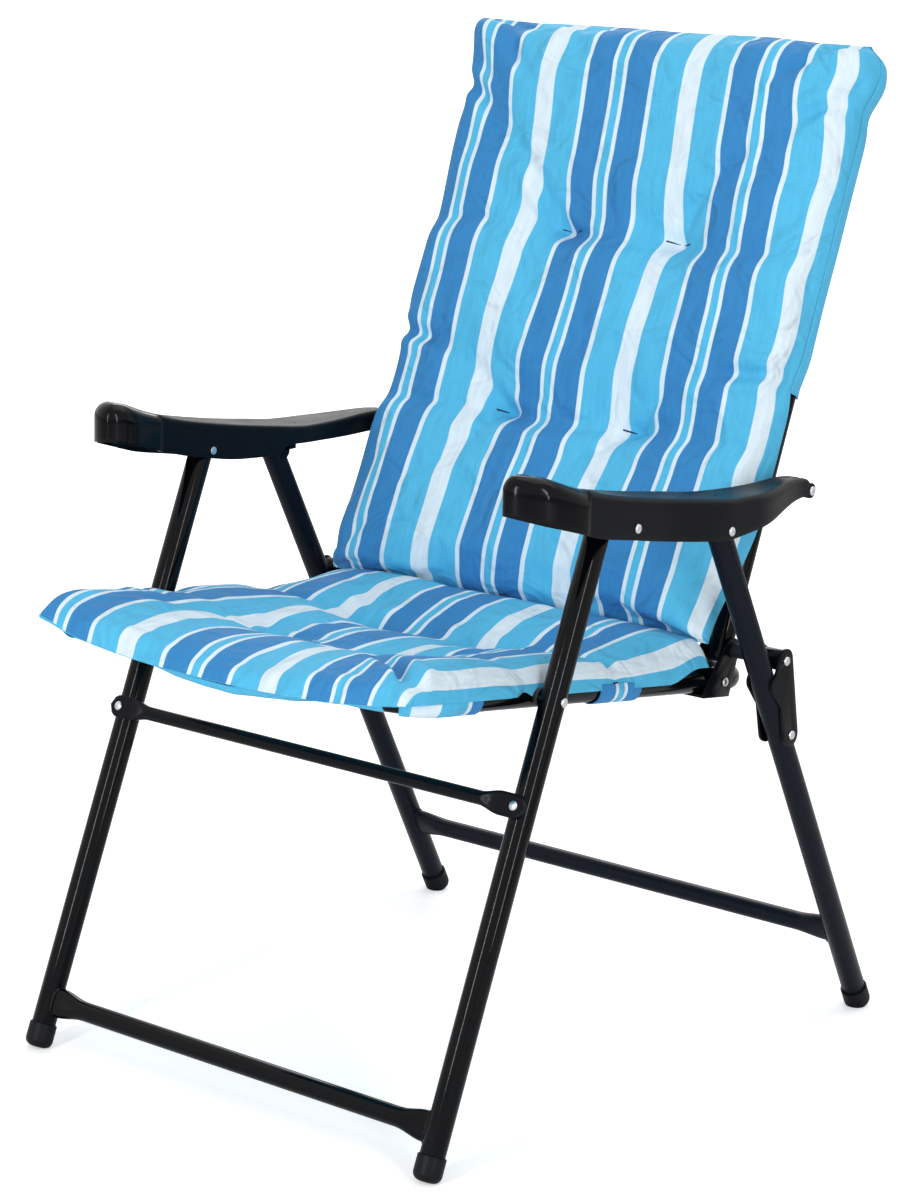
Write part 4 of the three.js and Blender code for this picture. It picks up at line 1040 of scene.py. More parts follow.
def add_upper_strap():
    bar = cross_bar(strap_radius, front_leg_x + strap_end, strap_y, strap_up_leg, 150)

    def press_ends(places):
        reach = np.abs(places[:, 0])
        press = smooth_step((reach - (front_leg_x - 36 * MM)) / (22 * MM))
        past = np.clip((reach - front_leg_x) / strap_end, 0, 1)
        tall = strap_end * np.sqrt(np.maximum(1 - past**2, 0.0004))
        crimp = hump(reach - (front_leg_x - 25 * MM), 5 * MM)
        places = pressed(places, strap_radius, press, strap_half_thick, tall, 6, (strap_y, strap_up_leg))
        middle = hump(places[:, 2] - strap_up_leg, 4 * MM)
        places[:, 1] += np.where(places[:, 1] < strap_y, crimp_depth, 0) * crimp * middle
        return places

    reshape(bar, press_ends)
    smooth_off(bar, 50)
    finish(bar, "upper_strap", front_axes, "front_frame", "black_plate", "upper_cross_strap")


# Rivet along X: plain shaft, peened tail and a domed head over a thin collar
rivet_head = 4.2 * MM
rivet_shaft = 3 * MM
rivet_rise = 2.5 * MM
rivet_tail = 1.4 * MM
collar_height = 0.7 * MM
tail_share = 0.86
dome_shares = (0.22, 0.42, 0.62, 0.8, 0.94)
dome_step_share = 0.2


def new_rivet(from_x, to_x, tail=rivet_tail, rise=rivet_rise):
    parts = []
    for radius, start, length in (
        (rivet_shaft, from_x - tail, to_x - from_x + tail),
        (rivet_head * tail_share, from_x - fit_gap - tail, tail),
    ):
        if length > 0:
            part = new_bar(radius, length, 28)
            lay_across(part, start)
            bevel_all(part, 0.3 * MM)
            parts.append(part)
    collar = new_bar(rivet_head, collar_height, 32)
    pick(collar, lambda co: co.z > 0.5 * MM)
    for share in dome_shares:
        above, below = share * math.pi / 2, max(0, share - dome_step_share) * math.pi / 2
        ring = math.cos(above) / math.cos(below)
        push(0, 0, (rise - collar_height) * (math.sin(above) - math.sin(below)))
        bpy.ops.transform.resize(value=(ring, ring, 1))
    stop_editing()
    lay_across(collar, to_x + fit_gap)
    rivet = joined([*parts, collar])
    smooth_off(rivet, 50)
    return rivet


bracket_rivet_y = 275.6 * MM
bracket_half = 13.8 * MM
link_half = 13.9 * MM
hinge_boss_outer_x = 271.2 * MM
strap_rivet_to = 15.7 * MM


def add_rivets():
    rail_in, leg_out = rail_x - tube_radius, front_leg_x + tube_radius
    bracket_in, bracket_out = rail_x - bracket_half, rail_x + bracket_half
    link_in, link_out = rear_leg_x - link_half, rear_leg_x + link_half
    on_rail = seat_axes @ Vector((0, bracket_rivet_y, 0))
    for name, from_x, to_x, tail, place, bodies in (
        ("seat_pivot_rivet", rail_in, leg_out, rivet_tail, seat_pivot, both_front),
        ("arm_front_rivet", arm_inner_x, arm_outer_x, rivet_tail, arm_pivot, both_front),
        ("bracket_rivet", bracket_in, bracket_out, rivet_tail, on_rail, both_seat),
        ("arm_rear_rivet", rail_in, arm_rear_x, rivet_tail, arm_end, both_back),
        ("rear_leg_rivet", 243 * MM, hinge_boss_outer_x, 0.0, rear_pivot, arm_bodies),
        ("link_lower_rivet", link_in, link_out, rivet_tail, link_pivot, both_rear),
        ("link_top_rivet", link_in, link_out, 0.0, back_pivot, link_bodies),
    ):
        rivet = new_rivet(from_x, to_x, tail)
        rivet.data.transform(Matrix.Translation(place))
        finish_pair(rivet, name, in_place, bodies, "zinc_steel")
    strap = new_rivet(-tube_radius, strap_rivet_to)
    strap.data.transform(Matrix.Rotation(-math.pi / 2, 4, "Z"))
    strap.data.transform(Matrix.Translation((front_leg_x, 0, strap_up_leg)))
    finish_pair(strap, "strap_rivet", front_axes, both_front, "zinc_steel")


# Plates keep their CAD outline and get rounded edges; turned parts are made afresh
def refined(node, bevel):
    source = frame["nodes"][node]
    copy = bpy.data.objects.new(node + "_made", source.data.copy())
    bpy.context.scene.collection.objects.link(copy)
    edit_all(copy)
    bpy.ops.mesh.remove_doubles(threshold=0.01 * MM)
    bpy.ops.mesh.dissolve_limited(angle_limit=math.radians(1))
    stop_editing()
    bevel_all(copy, bevel, 3, 50)
    smooth_off(copy, 40)
    return copy


def add_plates():
    kinds = ("hinge_bracket", "link_inner", "link_outer")
    for node in [name for name in frame["nodes"] if name.startswith(kinds)]:
        plate = refined(node, 0.5 * MM)
        body = frame["nodes"][node].parent.name.removeprefix("body:")
        finish(plate, node, in_place, body, "black_plate")


sleeve_bore = 3.3 * MM
sleeve_bore_depth = 2 * MM
pivot_sleeve_end = 242.5 * MM
barrel_half = 11.1 * MM
plug_radius = 10.9 * MM
plug_height = 2 * MM


def sleeve_along(name, radius, from_x, to_x, place, bodies, slot):
    length = to_x - from_x
    ring = new_bar(radius, length, 36)
    bore_ends(ring, 0, length, radius - sleeve_bore, min(sleeve_bore_depth, length / 3))
    bevel_all(ring, 0.4 * MM)
    smooth_off(ring)
    lay_across(ring, from_x, place.y, place.z)
    finish_pair(ring, name, in_place, bodies, slot)


def add_turned_parts():
    rail_out = rail_x + tube_radius + fit_gap
    leg_in = front_leg_x - tube_radius - fit_gap
    bracket_out = rail_x + bracket_half + fit_gap
    for sleeve in (
        ("seat_pivot_spacer", 8 * MM, rail_out, leg_in, seat_pivot, both_front, "nylon"),
        ("back_pivot_sleeve", 6.5 * MM, bracket_out, pivot_sleeve_end, back_pivot, both_seat, "nylon"),
        ("arm_rear_bush", 6 * MM, rail_out, arm_eye_inner_x - fit_gap, arm_end, arm_bodies, "nylon"),
        (
            "link_barrel", 9.5 * MM, rear_leg_x - barrel_half, rear_leg_x + barrel_half, back_pivot,
            link_bodies, "black_plate",
        ),
    ):
        sleeve_along(*sleeve)
    bolt = new_rivet(-pivot_sleeve_end, bracket_half - rail_x, 0.0, 2.4 * MM)
    turn_over(bolt)
    finish_pair(bolt, "back_pivot_bolt", Matrix.Translation(back_pivot), both_seat, "zinc_steel")
    plug = new_bar(plug_radius, plug_height, 40, rail_x, 0, hoop_low - fit_gap - plug_height)
    bevel_all(plug, 0.8 * MM, 3)
    smooth_off(plug)
    finish_pair(plug, "back_post_plug", back_axes, both_back, "cap_plastic")


# Armrest: heights at places along it, as shares of its length from its front tip to its rear eye
arm_tip = 151 * MM
arm_nose = 53.5 * MM
arm_step_share = 0.19
arm_top_line = [
    (0.05, 1.02), (0.075, 1.045), (0.1, 1.03), (0.13, 0.95), (0.16, 0.86), (0.19, 0.785), (0.25, 0.65),
    (0.34, 0.5), (0.45, 0.35), (0.56, 0.22), (0.68, 0.1), (0.8, 0.07), (0.92, 0.085), (0.965, 0.06), (1, 0.0),
]
arm_outer_low = [
    (0.05, 0.4), (0.133, 0.21), (0.184, 0.09), (0.23, -0.02), (0.33, -0.165), (0.44, -0.32),
    (0.55, -0.45), (0.64, -0.53), (0.7, -0.5), (0.78, -0.44), (0.87, -0.32), (0.94, -0.26), (1, -0.25),
]
arm_inner_low = [
    (0.05, 0.44), (0.127, 0.29), (0.19, 0.155), (0.262, 0), (0.34, -0.13), (0.44, -0.25),
    (0.56, -0.3), (0.59, -0.17), (0.68, -0.21), (0.85, -0.27), (1, -0.25),
]
nose_tip = (226 * MM, -128 * MM)
nose_inner_round = (12.8 * MM, 24 * MM)
nose_outer_round = (39.2 * MM, 56 * MM)
smallest_round = 0.5 * MM
arm_rear = 280 * MM
arm_swell = 6.3 * MM
arm_wall = 2.6 * MM
arm_edge_in = 6 * MM
arm_edge_drop = 5 * MM
nose_edge_in = 6 * MM
nose_edge_drop = 8 * MM
arm_dish = 1.2 * MM
nose_bulge = 2.2 * MM
arm_length = arm_tip + (arm_end.y - arm_pivot.y)
round_steps = 7
wall_steps = 5


# Plan of the armrest's inner or outer side at a place along it, drawn in by the inset
def arm_side(y, inset, outer_side):
    share = (y + arm_tip) / arm_length
    if outer_side:
        x = arm_outer_x + arm_swell * smooth_step((share - 0.42) / 0.24)
        x = x + (arm_rear_x - x) * smooth_step((share - 0.74) / 0.26)
    else:
        x = arm_inner_x + (arm_eye_inner_x - arm_inner_x) * smooth_step((share - 0.54) / 0.36)
    rx, ry = [np.maximum(size - inset, smallest_round) for size in nose_round(outer_side)]
    up = np.clip((nose_tip[1] + inset + ry - y) / ry, 0, 1)
    turned_in = rx * (1 - np.sqrt(np.maximum(0, 1 - up**2)))
    return x - inset - turned_in if outer_side else x + inset + turned_in


def nose_round(outer_side):
    return nose_outer_round if outer_side else nose_inner_round


def arm_plan(across, along, inset):
    turn = math.sin(math.pi / 4)
    tip_x, tip_y = nose_tip
    inner_y, outer_y = [
        tip_y + inset + np.maximum(nose_round(outer)[1] - inset, smallest_round) * (1 - turn)
        for outer in (False, True)
    ]
    rear = arm_rear - inset
    reach = along**1.35
    y_inner = inner_y + (rear - inner_y) * reach
    y_outer = outer_y + (rear - outer_y) * reach
    x_inner, x_outer = arm_side(y_inner, inset, False), arm_side(y_outer, inset, True)
    start_in, start_out = arm_side(inner_y, inset, False), arm_side(outer_y, inset, True)
    front_x = start_in + (start_out - start_in) * across
    rx, ry = [
        np.maximum(np.where(front_x < tip_x, inner, outer) - inset, smallest_round)
        for inner, outer in zip(nose_inner_round, nose_outer_round)
    ]
    off = np.clip((front_x - tip_x) / rx, -1, 1)
    front_y = tip_y + inset + ry * (1 - np.sqrt(np.maximum(0, 1 - off**2)))
    fade = (1 - reach) ** 6
    x = x_inner + (x_outer - x_inner) * across
    y = y_inner + (y_outer - y_inner) * across
    y = y + (front_y - (inner_y + (outer_y - inner_y) * across)) * fade
    return x, y


# The flat grid becomes the top, the steps extruded from its rim the rounded edge and then the wall
def mould_arm(places):
    across, along, step = places[:, 0] + 0.5, np.clip(places[:, 1] + 0.5, 0, 1), -places[:, 2]
    x, y = arm_plan(across, along, 0 * MM)
    share = (y + arm_tip) / arm_length
    nose = smooth_step((arm_step_share + 0.005 - share) / 0.01)
    inner_x, inner_y = arm_plan(across, along, arm_edge_in + nose_edge_in * nose)
    turn = np.clip(step / round_steps, 0, 1) * np.pi / 2
    top = arm_nose * table_line(arm_top_line, (inner_y + arm_tip) / arm_length)
    low_in = arm_nose * table_line(arm_inner_low, share)
    low_out = arm_nose * table_line(arm_outer_low, share)
    low = low_in + (low_out - low_in) * across
    rim = np.minimum(arm_edge_drop + nose_edge_drop * nose, 0.6 * np.maximum(top - low, 1 * MM))
    down = np.clip((step - round_steps) / wall_steps, 0, 1)
    shoulder = top - rim * (1 - np.cos(turn))
    dish = arm_dish * (1 - nose) * np.sin(np.pi * across) * (step < 0.5)
    bulge = nose_bulge * nose * np.sin(turn) * (across - 0.5) * 2 * smooth_step((share - 0.06) / 0.06)
    places[:, 0] = inner_x + (x - inner_x) * np.sin(turn) + bulge
    places[:, 1] = inner_y + (y - inner_y) * np.sin(turn)
    places[:, 2] = shoulder + (low - shoulder) * down - dish
    return places


def new_arm_shell():
    clear_selection()
    bpy.ops.mesh.primitive_grid_add(x_subdivisions=18, y_subdivisions=140, size=1)
    shell = settled()
    edit_all(shell)
    bpy.ops.mesh.region_to_loop()
    push(0, 0, -(round_steps + wall_steps), round_steps + wall_steps)
    stop_editing()
    reshape(shell, mould_arm)
    edit_all(shell)
    bpy.ops.mesh.normals_make_consistent(inside=False)
    stop_editing()
    if sum(face.normal.z * face.area for face in shell.data.polygons) < 0:
        shell.data.flip_normals()
    wall = shell.modifiers.new("wall", "SOLIDIFY")
    wall.thickness = arm_wall
    wall.offset = -1
    wall.use_even_offset = False
    apply_modifier(shell, wall)
    bevel_all(shell, 0.6 * MM, 2, 60)
    smooth_off(shell, 42)
    return shell


# Web inside the armrest, which holds the inner end of the rear leg's rivet
web_x = 242.3 * MM
web_size = (2.6 * MM, 34.8 * MM)
web_high = 4.5 * MM
hinge_boss_radius = 8.7 * MM
hinge_boss_length = 2.6 * MM


def add_armrests():
    eye_place = arm_end - arm_pivot
    hinge_place = rear_pivot - arm_pivot
    parts = [new_arm_shell()]
    for radius, from_x, to_x, place in (
        (7 * MM, arm_eye_inner_x, arm_rear_x, eye_place),
        (6 * MM, 238.5 * MM, 264 * MM, Vector((0, 0, 0))),
        (hinge_boss_radius, 241 * MM, 241 * MM + hinge_boss_length, hinge_place),
        (hinge_boss_radius, hinge_boss_outer_x - hinge_boss_length, hinge_boss_outer_x, hinge_place),
    ):
        boss = new_bar(radius, to_x - from_x, 40)
        lay_across(boss, from_x, place.y, place.z)
        bevel_all(boss, 0.7 * MM, 3)
        smooth_off(boss)
        parts.append(boss)
    clear_selection()
    bpy.ops.mesh.primitive_cube_add(size=1)
    web = bpy.context.object
    web_low = hinge_place.z
    web.data.transform(Matrix.Diagonal((*web_size, web_high - web_low, 1)))
    web.data.transform(Matrix.Translation((web_x, hinge_place.y, (web_low + web_high) / 2)))
    bevel_all(web, 0.5 * MM)
    parts.append(web)
    arm_axes = Matrix.Translation(arm_pivot)
    step_y = arm_pivot.y - arm_tip + arm_step_share * arm_length
    for armrest in finish_pair(joined(parts), "armrest", arm_axes, arm_bodies, "arm_plastic"):
        armrest.data.materials.append(finishes["arm_satin"])
        for face in armrest.data.polygons:
            face.material_index = int(face.center.y > step_y)


def add_frame_pieces():
    add_legs()
    add_foot_caps()
    add_seat_ring()
    add_back_tube()
    add_welded_crossbars()
    add_upper_strap()
    add_plates()
    add_turned_parts()
    add_rivets()
    add_armrests()


# Seat pad, which sags between the rails and rolls over them
seat_half = 213.5 * MM
seat_front = -171 * MM
seat_rear = 249 * MM
seat_side_round = 17 * MM
seat_front_round = 42 * MM
seat_rear_round = 14 * MM
seat_edge_height = 30 * MM
seat_cloth_reach = 8 * MM
seat_far_roll = 29 * MM
seat_near_roll = 28 * MM
seat_far_rear_rise = 9 * MM
seat_roll_dip = 3 * MM
seat_roll_x = 203 * MM
seat_unevenness = 1 * MM
seat_seam_height = 1 * MM
seat_rear_lift = 13 * MM
seat_lip_drop = 17.5 * MM
seat_corner_lift = 5 * MM
seat_corner_fill = 3 * MM
seat_sag = 11 * MM
seat_base_half = 188 * MM
front_bar_room = 14 * MM
seat_tuft_rows = (-18 * MM, 113 * MM)
seat_row_depths = (5 * MM, 3.5 * MM)
seat_row_widths = (22 * MM, 17 * MM)
seat_pinch_width = 16 * MM
seat_pinch = 3.5 * MM
seat_front_narrowing = 5 * MM
seat_tuft = (7 * MM, 15 * MM)
seat_stitches = [(side * 64 * MM, row) for side in (-1, 1) for row in seat_tuft_rows]
seat_middle_line = [
    (-171, 15), (-130, 13.5), (-80, 12.5), (-18, 11), (45, 14), (92, 13), (112, 14), (127, 23), (168, 31),
    (222, 40), (249, 41),
]
seat_folds = [
    (-64, -18, -150, -60, 5, 7),
    (-64, -18, -130, 30, 4, 7),
    (-64, -18, 0, 10, 3, 7),
    (64, -18, 150, -50, 4, 7),
    (64, -18, 10, -60, 4, 7),
    (64, -18, 130, 25, 4, 7),
    (-64, 113, -150, 85, 4, 8),
    (-64, 113, -120, 165, 3, 8),
    (64, 113, 140, 150, 4, 8),
    (64, 113, 120, 70, 4, 7),
    (64, 113, 0, 150, 3, 8),
    (198, -152, 90, -84, 10, 8),
    (190, -160, 150, -110, 6, 5),
    (-205, -60, -150, -50, 4, 7),
    (205, 113, 150, 104, 5, 7),
]


def seat_width(share, run):
    pinch = sum(hump(run - row, seat_pinch_width) for row in seat_tuft_rows)
    narrow = seat_pinch * pinch + seat_front_narrowing * smooth_step((-150 * MM - run) / (20 * MM))
    return share * (1 - narrow / seat_half * np.abs(share / seat_half) ** 6)


# The pad's front follows half of the front bar's bow
def seat_bow(x, y):
    return 0.5 * front_bar_drop(x) * smooth_step((-y - 0.08) / 0.06)


# Cloth over the front bar is held off it by the thickness of thin foam
def clear_of_front_bar(places):
    local = moved(places, seat_axes.inverted())
    y, z = local[:, 1] - seat_ring_front, local[:, 2] + front_bar_drop(local[:, 0])
    far = np.maximum(np.hypot(y, z), 1e-6)
    room = front_bar_room - 1.5 * MM * smooth_step((np.abs(local[:, 0]) - 150 * MM) / (40 * MM))
    push_out = np.maximum(room / far, 1)
    local[:, 1] += y * (push_out - 1)
    local[:, 2] += z * (push_out - 1)
    return moved(local, seat_axes)


def seat_top_at(x, y):
    middle = table_line(seat_middle_line, y / MM) * MM
    far_roll = seat_far_roll + seat_far_rear_rise * smooth_step((y - 165 * MM) / (50 * MM))
    roll = np.where(x < 0, far_roll, seat_near_roll)
    roll = np.maximum(roll - seat_roll_dip * hump(y - 115 * MM, 45 * MM), middle)
    top = middle + (roll - middle) * np.minimum(1, np.abs(x) / seat_roll_x) ** 2.4
    middle_share = 1 - 0.5 * np.abs(x / seat_half) ** 4
    for row, depth, width in zip(seat_tuft_rows, seat_row_depths, seat_row_widths):
        top = top - depth * hump(y - row, width) * middle_share
    for at_x, at_y in seat_stitches:
        top = top - tuft_pull(x, y, at_x, at_y, *seat_tuft)
    for fold in seat_folds:
        top = top - fold_line(x, y, fold)
    return top + wave_noise(x, y, 100 * MM, 3) * seat_unevenness - seat_bow(x, y)


def seat_seam_at(x, y):
    lift = seat_rear_lift * smooth_step((y - 190 * MM) / (45 * MM))
    lip = seat_lip_drop * (1 - np.abs(x / seat_half) ** 2.5) * smooth_step((-y - 125 * MM) / (46 * MM))
    return lift + seat_seam_height - lip + seat_corner_lift * seat_far_corner(x, y)


# The far front corner is blunt, held up by the rail's bend
def seat_far_corner(x, y):
    return smooth_step((-x - 165 * MM) / (36 * MM)) * smooth_step((-y - 128 * MM) / (34 * MM))


def seat_under_at(x, y):
    sag = seat_sag * np.maximum(0, 1 - (x / seat_base_half) ** 2)
    ends = smooth_step((y + 140 * MM) / (40 * MM)) * smooth_step((235 * MM - y) / (50 * MM))
    return seat_seam_at(x, y) - sag * ends - seat_corner_fill * seat_far_corner(x, y)


def seat_stripe_shift(a, y):
    return 3 * MM + 12 * MM * smooth_step((a - 50 * MM) / (175 * MM))


def add_seat_pad():
    across = rounded_run(-seat_half, seat_half, seat_side_round, seat_side_round, seat_edge_height)
    along = rounded_run(seat_front, seat_rear, seat_front_round, seat_rear_round, seat_edge_height)
    form = PadForm("seat_pad_cover", seat_axes, False, across, along, seat_width, seat_top_at, seat_seam_at)
    form.under = seat_under_at(form.x, form.y)
    form.shift_stripes(seat_stripe_shift)
    face = form.simulate(seat_stitches, seat_cloth_reach)
    face = clear_of_front_bar(face)
    finish_pad("seat", form, face, seat_stitches, (0, 0, 1))


# Puts a pad and its stitched tufts in the chair
def finish_pad(part, form, face, stitches, axis):
    piece = form.build(face)
    body = part + "_frame"
    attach(piece, body)
    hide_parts(part + "_pad")
    flatten_when_folded(piece)
    add_stitch_lines(part + "_stitch", form, face, stitches, axis, body)


# Gives the piece its own copy of its mesh; nothing flattens it as the chair folds
def flatten_when_folded(piece):
    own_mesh(piece)


thread_radius = 0.8 * MM
thread_length = 25 * MM
thread_above_cloth = 1.3 * MM


# Thread of each tuft, laid along the cloth; its near-black navy colour is painted shade of the fold that the
# stitch pulls in
def add_stitch_lines(name, form, face, stitches, axis, body):
    normal = form.axes.to_3x3() @ Vector(axis)
    up = normal.cross(Vector((1, 0, 0)))
    grid = face.reshape(form.rows, form.columns, 3)
    for i, (at_x, at_y) in enumerate(stitches):
        row = np.argmin(np.abs(form.y[:, form.columns // 2] - at_y))
        column = np.argmin(np.abs(form.x[row] - at_x))
        thread = new_bar(thread_radius, thread_length, 12, z=-thread_length / 2)
        bevel_all(thread, 0.5 * MM)
        smooth_off(thread)
        edit_all(thread)
        bpy.ops.mesh.subdivide(number_cuts=5)
        stop_editing()
        thread.data.transform(Matrix.Rotation(math.pi / 2, 4, "Y"))

        def lay(places):
            reach = form.x[row, column] + places[:, 0]
            line = np.stack([np.interp(reach, form.x[row], grid[row][:, k]) for k in range(3)], axis=1)
            return line + np.outer(places[:, 1], up) + np.outer(places[:, 2] + thread_above_cloth, normal)

        reshape(thread, lay)
        thread.name = f"{name}_{i + 1}"
        thread.data.materials.append(finishes["stitch_thread"])
        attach(thread, body)
        flatten_when_folded(thread)


# Back pad
back_half = 222 * MM
back_low = -3 * MM
back_high = 563 * MM
back_round = 20 * MM
back_low_round = 12 * MM
back_edge_height = 36 * MM
back_cloth_reach = 9 * MM
back_thickness = 56 * MM
back_low_swell = 17 * MM
back_side_thinning = 5 * MM
back_unevenness = 1.5 * MM
back_seam_height = 13.6 * MM
back_seam_low_lift = 30 * MM
back_tuft_rows = (175 * MM, 355 * MM)
back_row_depth = 12.5 * MM
back_row_widths = (62 * MM, 14 * MM)
back_tuft = (8 * MM, 16 * MM)
back_stitches = [(-70 * MM, 175 * MM), (78 * MM, 175 * MM), (-58 * MM, 355 * MM), (66 * MM, 355 * MM)]
back_folds = [
    (-58, 355, -120, 425, 6, 8),
    (-58, 355, -150, 380, 4, 8),
    (-58, 355, 0, 345, 5, 8),
    (66, 355, 0, 375, 4, 8),
    (66, 355, 130, 345, 5, 8),
    (66, 355, 105, 430, 4, 8),
    (-70, 175, -130, 225, 7, 8),
    (-70, 175, 0, 165, 5, 8),
    (-70, 175, -110, 120, 4, 8),
    (78, 175, 145, 190, 5, 8),
    (78, 175, 115, 240, 4, 8),
    (78, 175, 25, 120, 4, 8),
    (-220, 240, -130, 225, 8, 7),
    (214, 245, 130, 235, 8, 7),
    (-220, 490, -150, 460, 7, 7),
    (216, 500, 160, 470, 6, 7),
    (-175, 560, -160, 500, 6, 8),
    (-90, 562, -120, 480, 4, 10),
    (185, 560, 150, 520, 4, 8),
]


# The sides aren't straight: pinched between the tufts, with an ear near the top and a corner that rounds off
def back_half_at(run, side):
    pinch = hump(run - 243 * MM, 17 * MM)
    low = 3 * MM * smooth_step(1 - run / (60 * MM))
    far_ear = 12 * MM * smooth_step((run - 512 * MM) / (42 * MM)) - 4 * MM * hump(run - 487 * MM, 20 * MM)
    near_ear = 6 * MM * hump(run - 532 * MM, 18 * MM) - 3 * MM * hump(run - 500 * MM, 14 * MM)
    near_corner = 13 * MM * smooth_step((run - 543 * MM) / (20 * MM)) ** 2
    far = 226 * MM + far_ear - 5 * MM * pinch - low
    near = 218.5 * MM + near_ear - near_corner - 4 * MM * pinch - low
    return np.where(side < 0, far, near)


def back_width(share, run):
    return share * (1 + (back_half_at(run, share) - back_half) / back_half * np.abs(share / back_half) ** 5)


# Cells are fullest just below a row of tufts and thin out towards the next row down
def back_valley(run, row):
    above, below = [hump(run - row, width) for width in back_row_widths]
    return np.where(run > row, above, below)


def back_top_at(x, y):
    side = np.abs(x / back_half)
    valley = sum(back_valley(y, row) for row in back_tuft_rows)
    tuck = sum(hump(y - row, 24 * MM) for row in back_tuft_rows)
    top = back_thickness + back_low_swell * smooth_step(1 - y / (240 * MM)) - back_side_thinning * side**3
    top = top - back_row_depth * valley * (1 - 0.35 * side**4)
    top = top - 4 * MM * hump(np.abs(x - 4 * MM) - 68 * MM, 26 * MM) * (0.4 + tuck)
    for at_x, at_y in back_stitches:
        top = top - tuft_pull(x, y, at_x, at_y, *back_tuft)
    for fold in back_folds:
        top = top - fold_line(x, y, fold)
    return top + wave_noise(x, y, 110 * MM, 11) * back_unevenness


def back_seam_at(x, y):
    return back_seam_height + back_seam_low_lift * smooth_step(1 - y / (130 * MM))


back_stripe_sway = [
    (-3, 1), (40, -1), (130, 1), (160, 4), (220, 5), (250, 1), (290, -1), (340, 3), (370, 2), (400, 1.5),
    (430, -2), (460, 0), (490, 4), (520, 7.5), (563, 12),
]


def back_stripe_shift(a, y):
    near = 6 * MM * smooth_step((a - 60 * MM) / (150 * MM))
    far = 2.5 * MM * smooth_step((-a - 60 * MM) / (130 * MM))
    return near + far + table_line(back_stripe_sway, np.clip(y / MM, -3, 563)) * MM


# Top edge of the hoop's cover is not quite straight
def back_top_wave(x, y):
    dip = 4 * MM * hump(x + 160 * MM, 30 * MM) + 4 * MM * hump(x - 165 * MM, 38 * MM)
    dip = dip + 2 * MM * hump(x, 40 * MM)
    return dip * smooth_step((y - 480 * MM) / (80 * MM))


def add_back_pad():
    across = rounded_run(-back_half, back_half, back_round, back_round, back_edge_height)
    along = rounded_run(back_low, back_high, back_low_round, back_round, back_edge_height)
    form = PadForm("back_pad_cover", back_axes, True, across, along, back_width, back_top_at, back_seam_at)
    form.y = form.y - back_top_wave(form.x, form.y)
    form.shift_stripes(back_stripe_shift)
    face = form.simulate(back_stitches, back_cloth_reach)
    finish_pad("back", form, face, back_stitches, (0, -1, 0))


# Cloths without foam, each from a grid that is laid along its run and given a thread's thickness
cloth_thickness = 0.7 * MM
band_thickness = 0.9 * MM
ring_piece = "seat_ring_tube_finished"
hoop_piece = "back_hoop_tube_finished"


def cloth_grid(name, columns, rows, place_at, print_at, axes, surface, thickness=cloth_thickness):
    clear_selection()
    bpy.ops.mesh.primitive_grid_add(x_subdivisions=columns, y_subdivisions=rows, size=1, calc_uvs=False)
    sheet = settled()
    sheet.name = sheet.data.name = name
    flat = np.zeros(len(sheet.data.vertices) * 3)
    sheet.data.vertices.foreach_get("co", flat)
    w, t = (flat.reshape(-1, 3)[:, :2] + 0.5).T
    uv = np.stack(print_at(w, t), -1)
    corners = np.zeros(len(sheet.data.loops), np.int32)
    sheet.data.loops.foreach_get("vertex_index", corners)
    layer = sheet.data.uv_layers.new(name="cloth")
    layer.data.foreach_set("uv", uv[corners].reshape(-1))
    reshape(sheet, lambda places: np.stack(place_at(w, t), -1))
    sheet.data.transform(axes)
    sheet.data.materials.append(finishes[surface])
    sheet.data.polygons.foreach_set("use_smooth", np.ones(len(sheet.data.polygons), bool))
    wall = sheet.modifiers.new("cloth_thickness", "SOLIDIFY")
    wall.thickness = thickness
    wall.offset = 0
    return sheet


# Hangs a sheet on its body, in place of its CAD node where it has one
def finish_sheet(sheet, body, node):
    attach(sheet, body)
    if node:
        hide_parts(node)


# Pocket over the top of the hoop: it goes on from the pad's edge, round the tube and across the back
pocket_low = 236 * MM
pocket_rear = 13 * MM
pocket_front = -13.4 * MM
pocket_corner = 9 * MM
pocket_top_in = 1 * MM
pocket_slack = 0.8 * MM
pocket_hem = (20 * MM, 0.7 * MM)
pocket_print = (240 * MM, 27 * MM, 426 * MM, 330 * MM)
pocket_turn_share = 0.1
pocket_top_share = 0.94


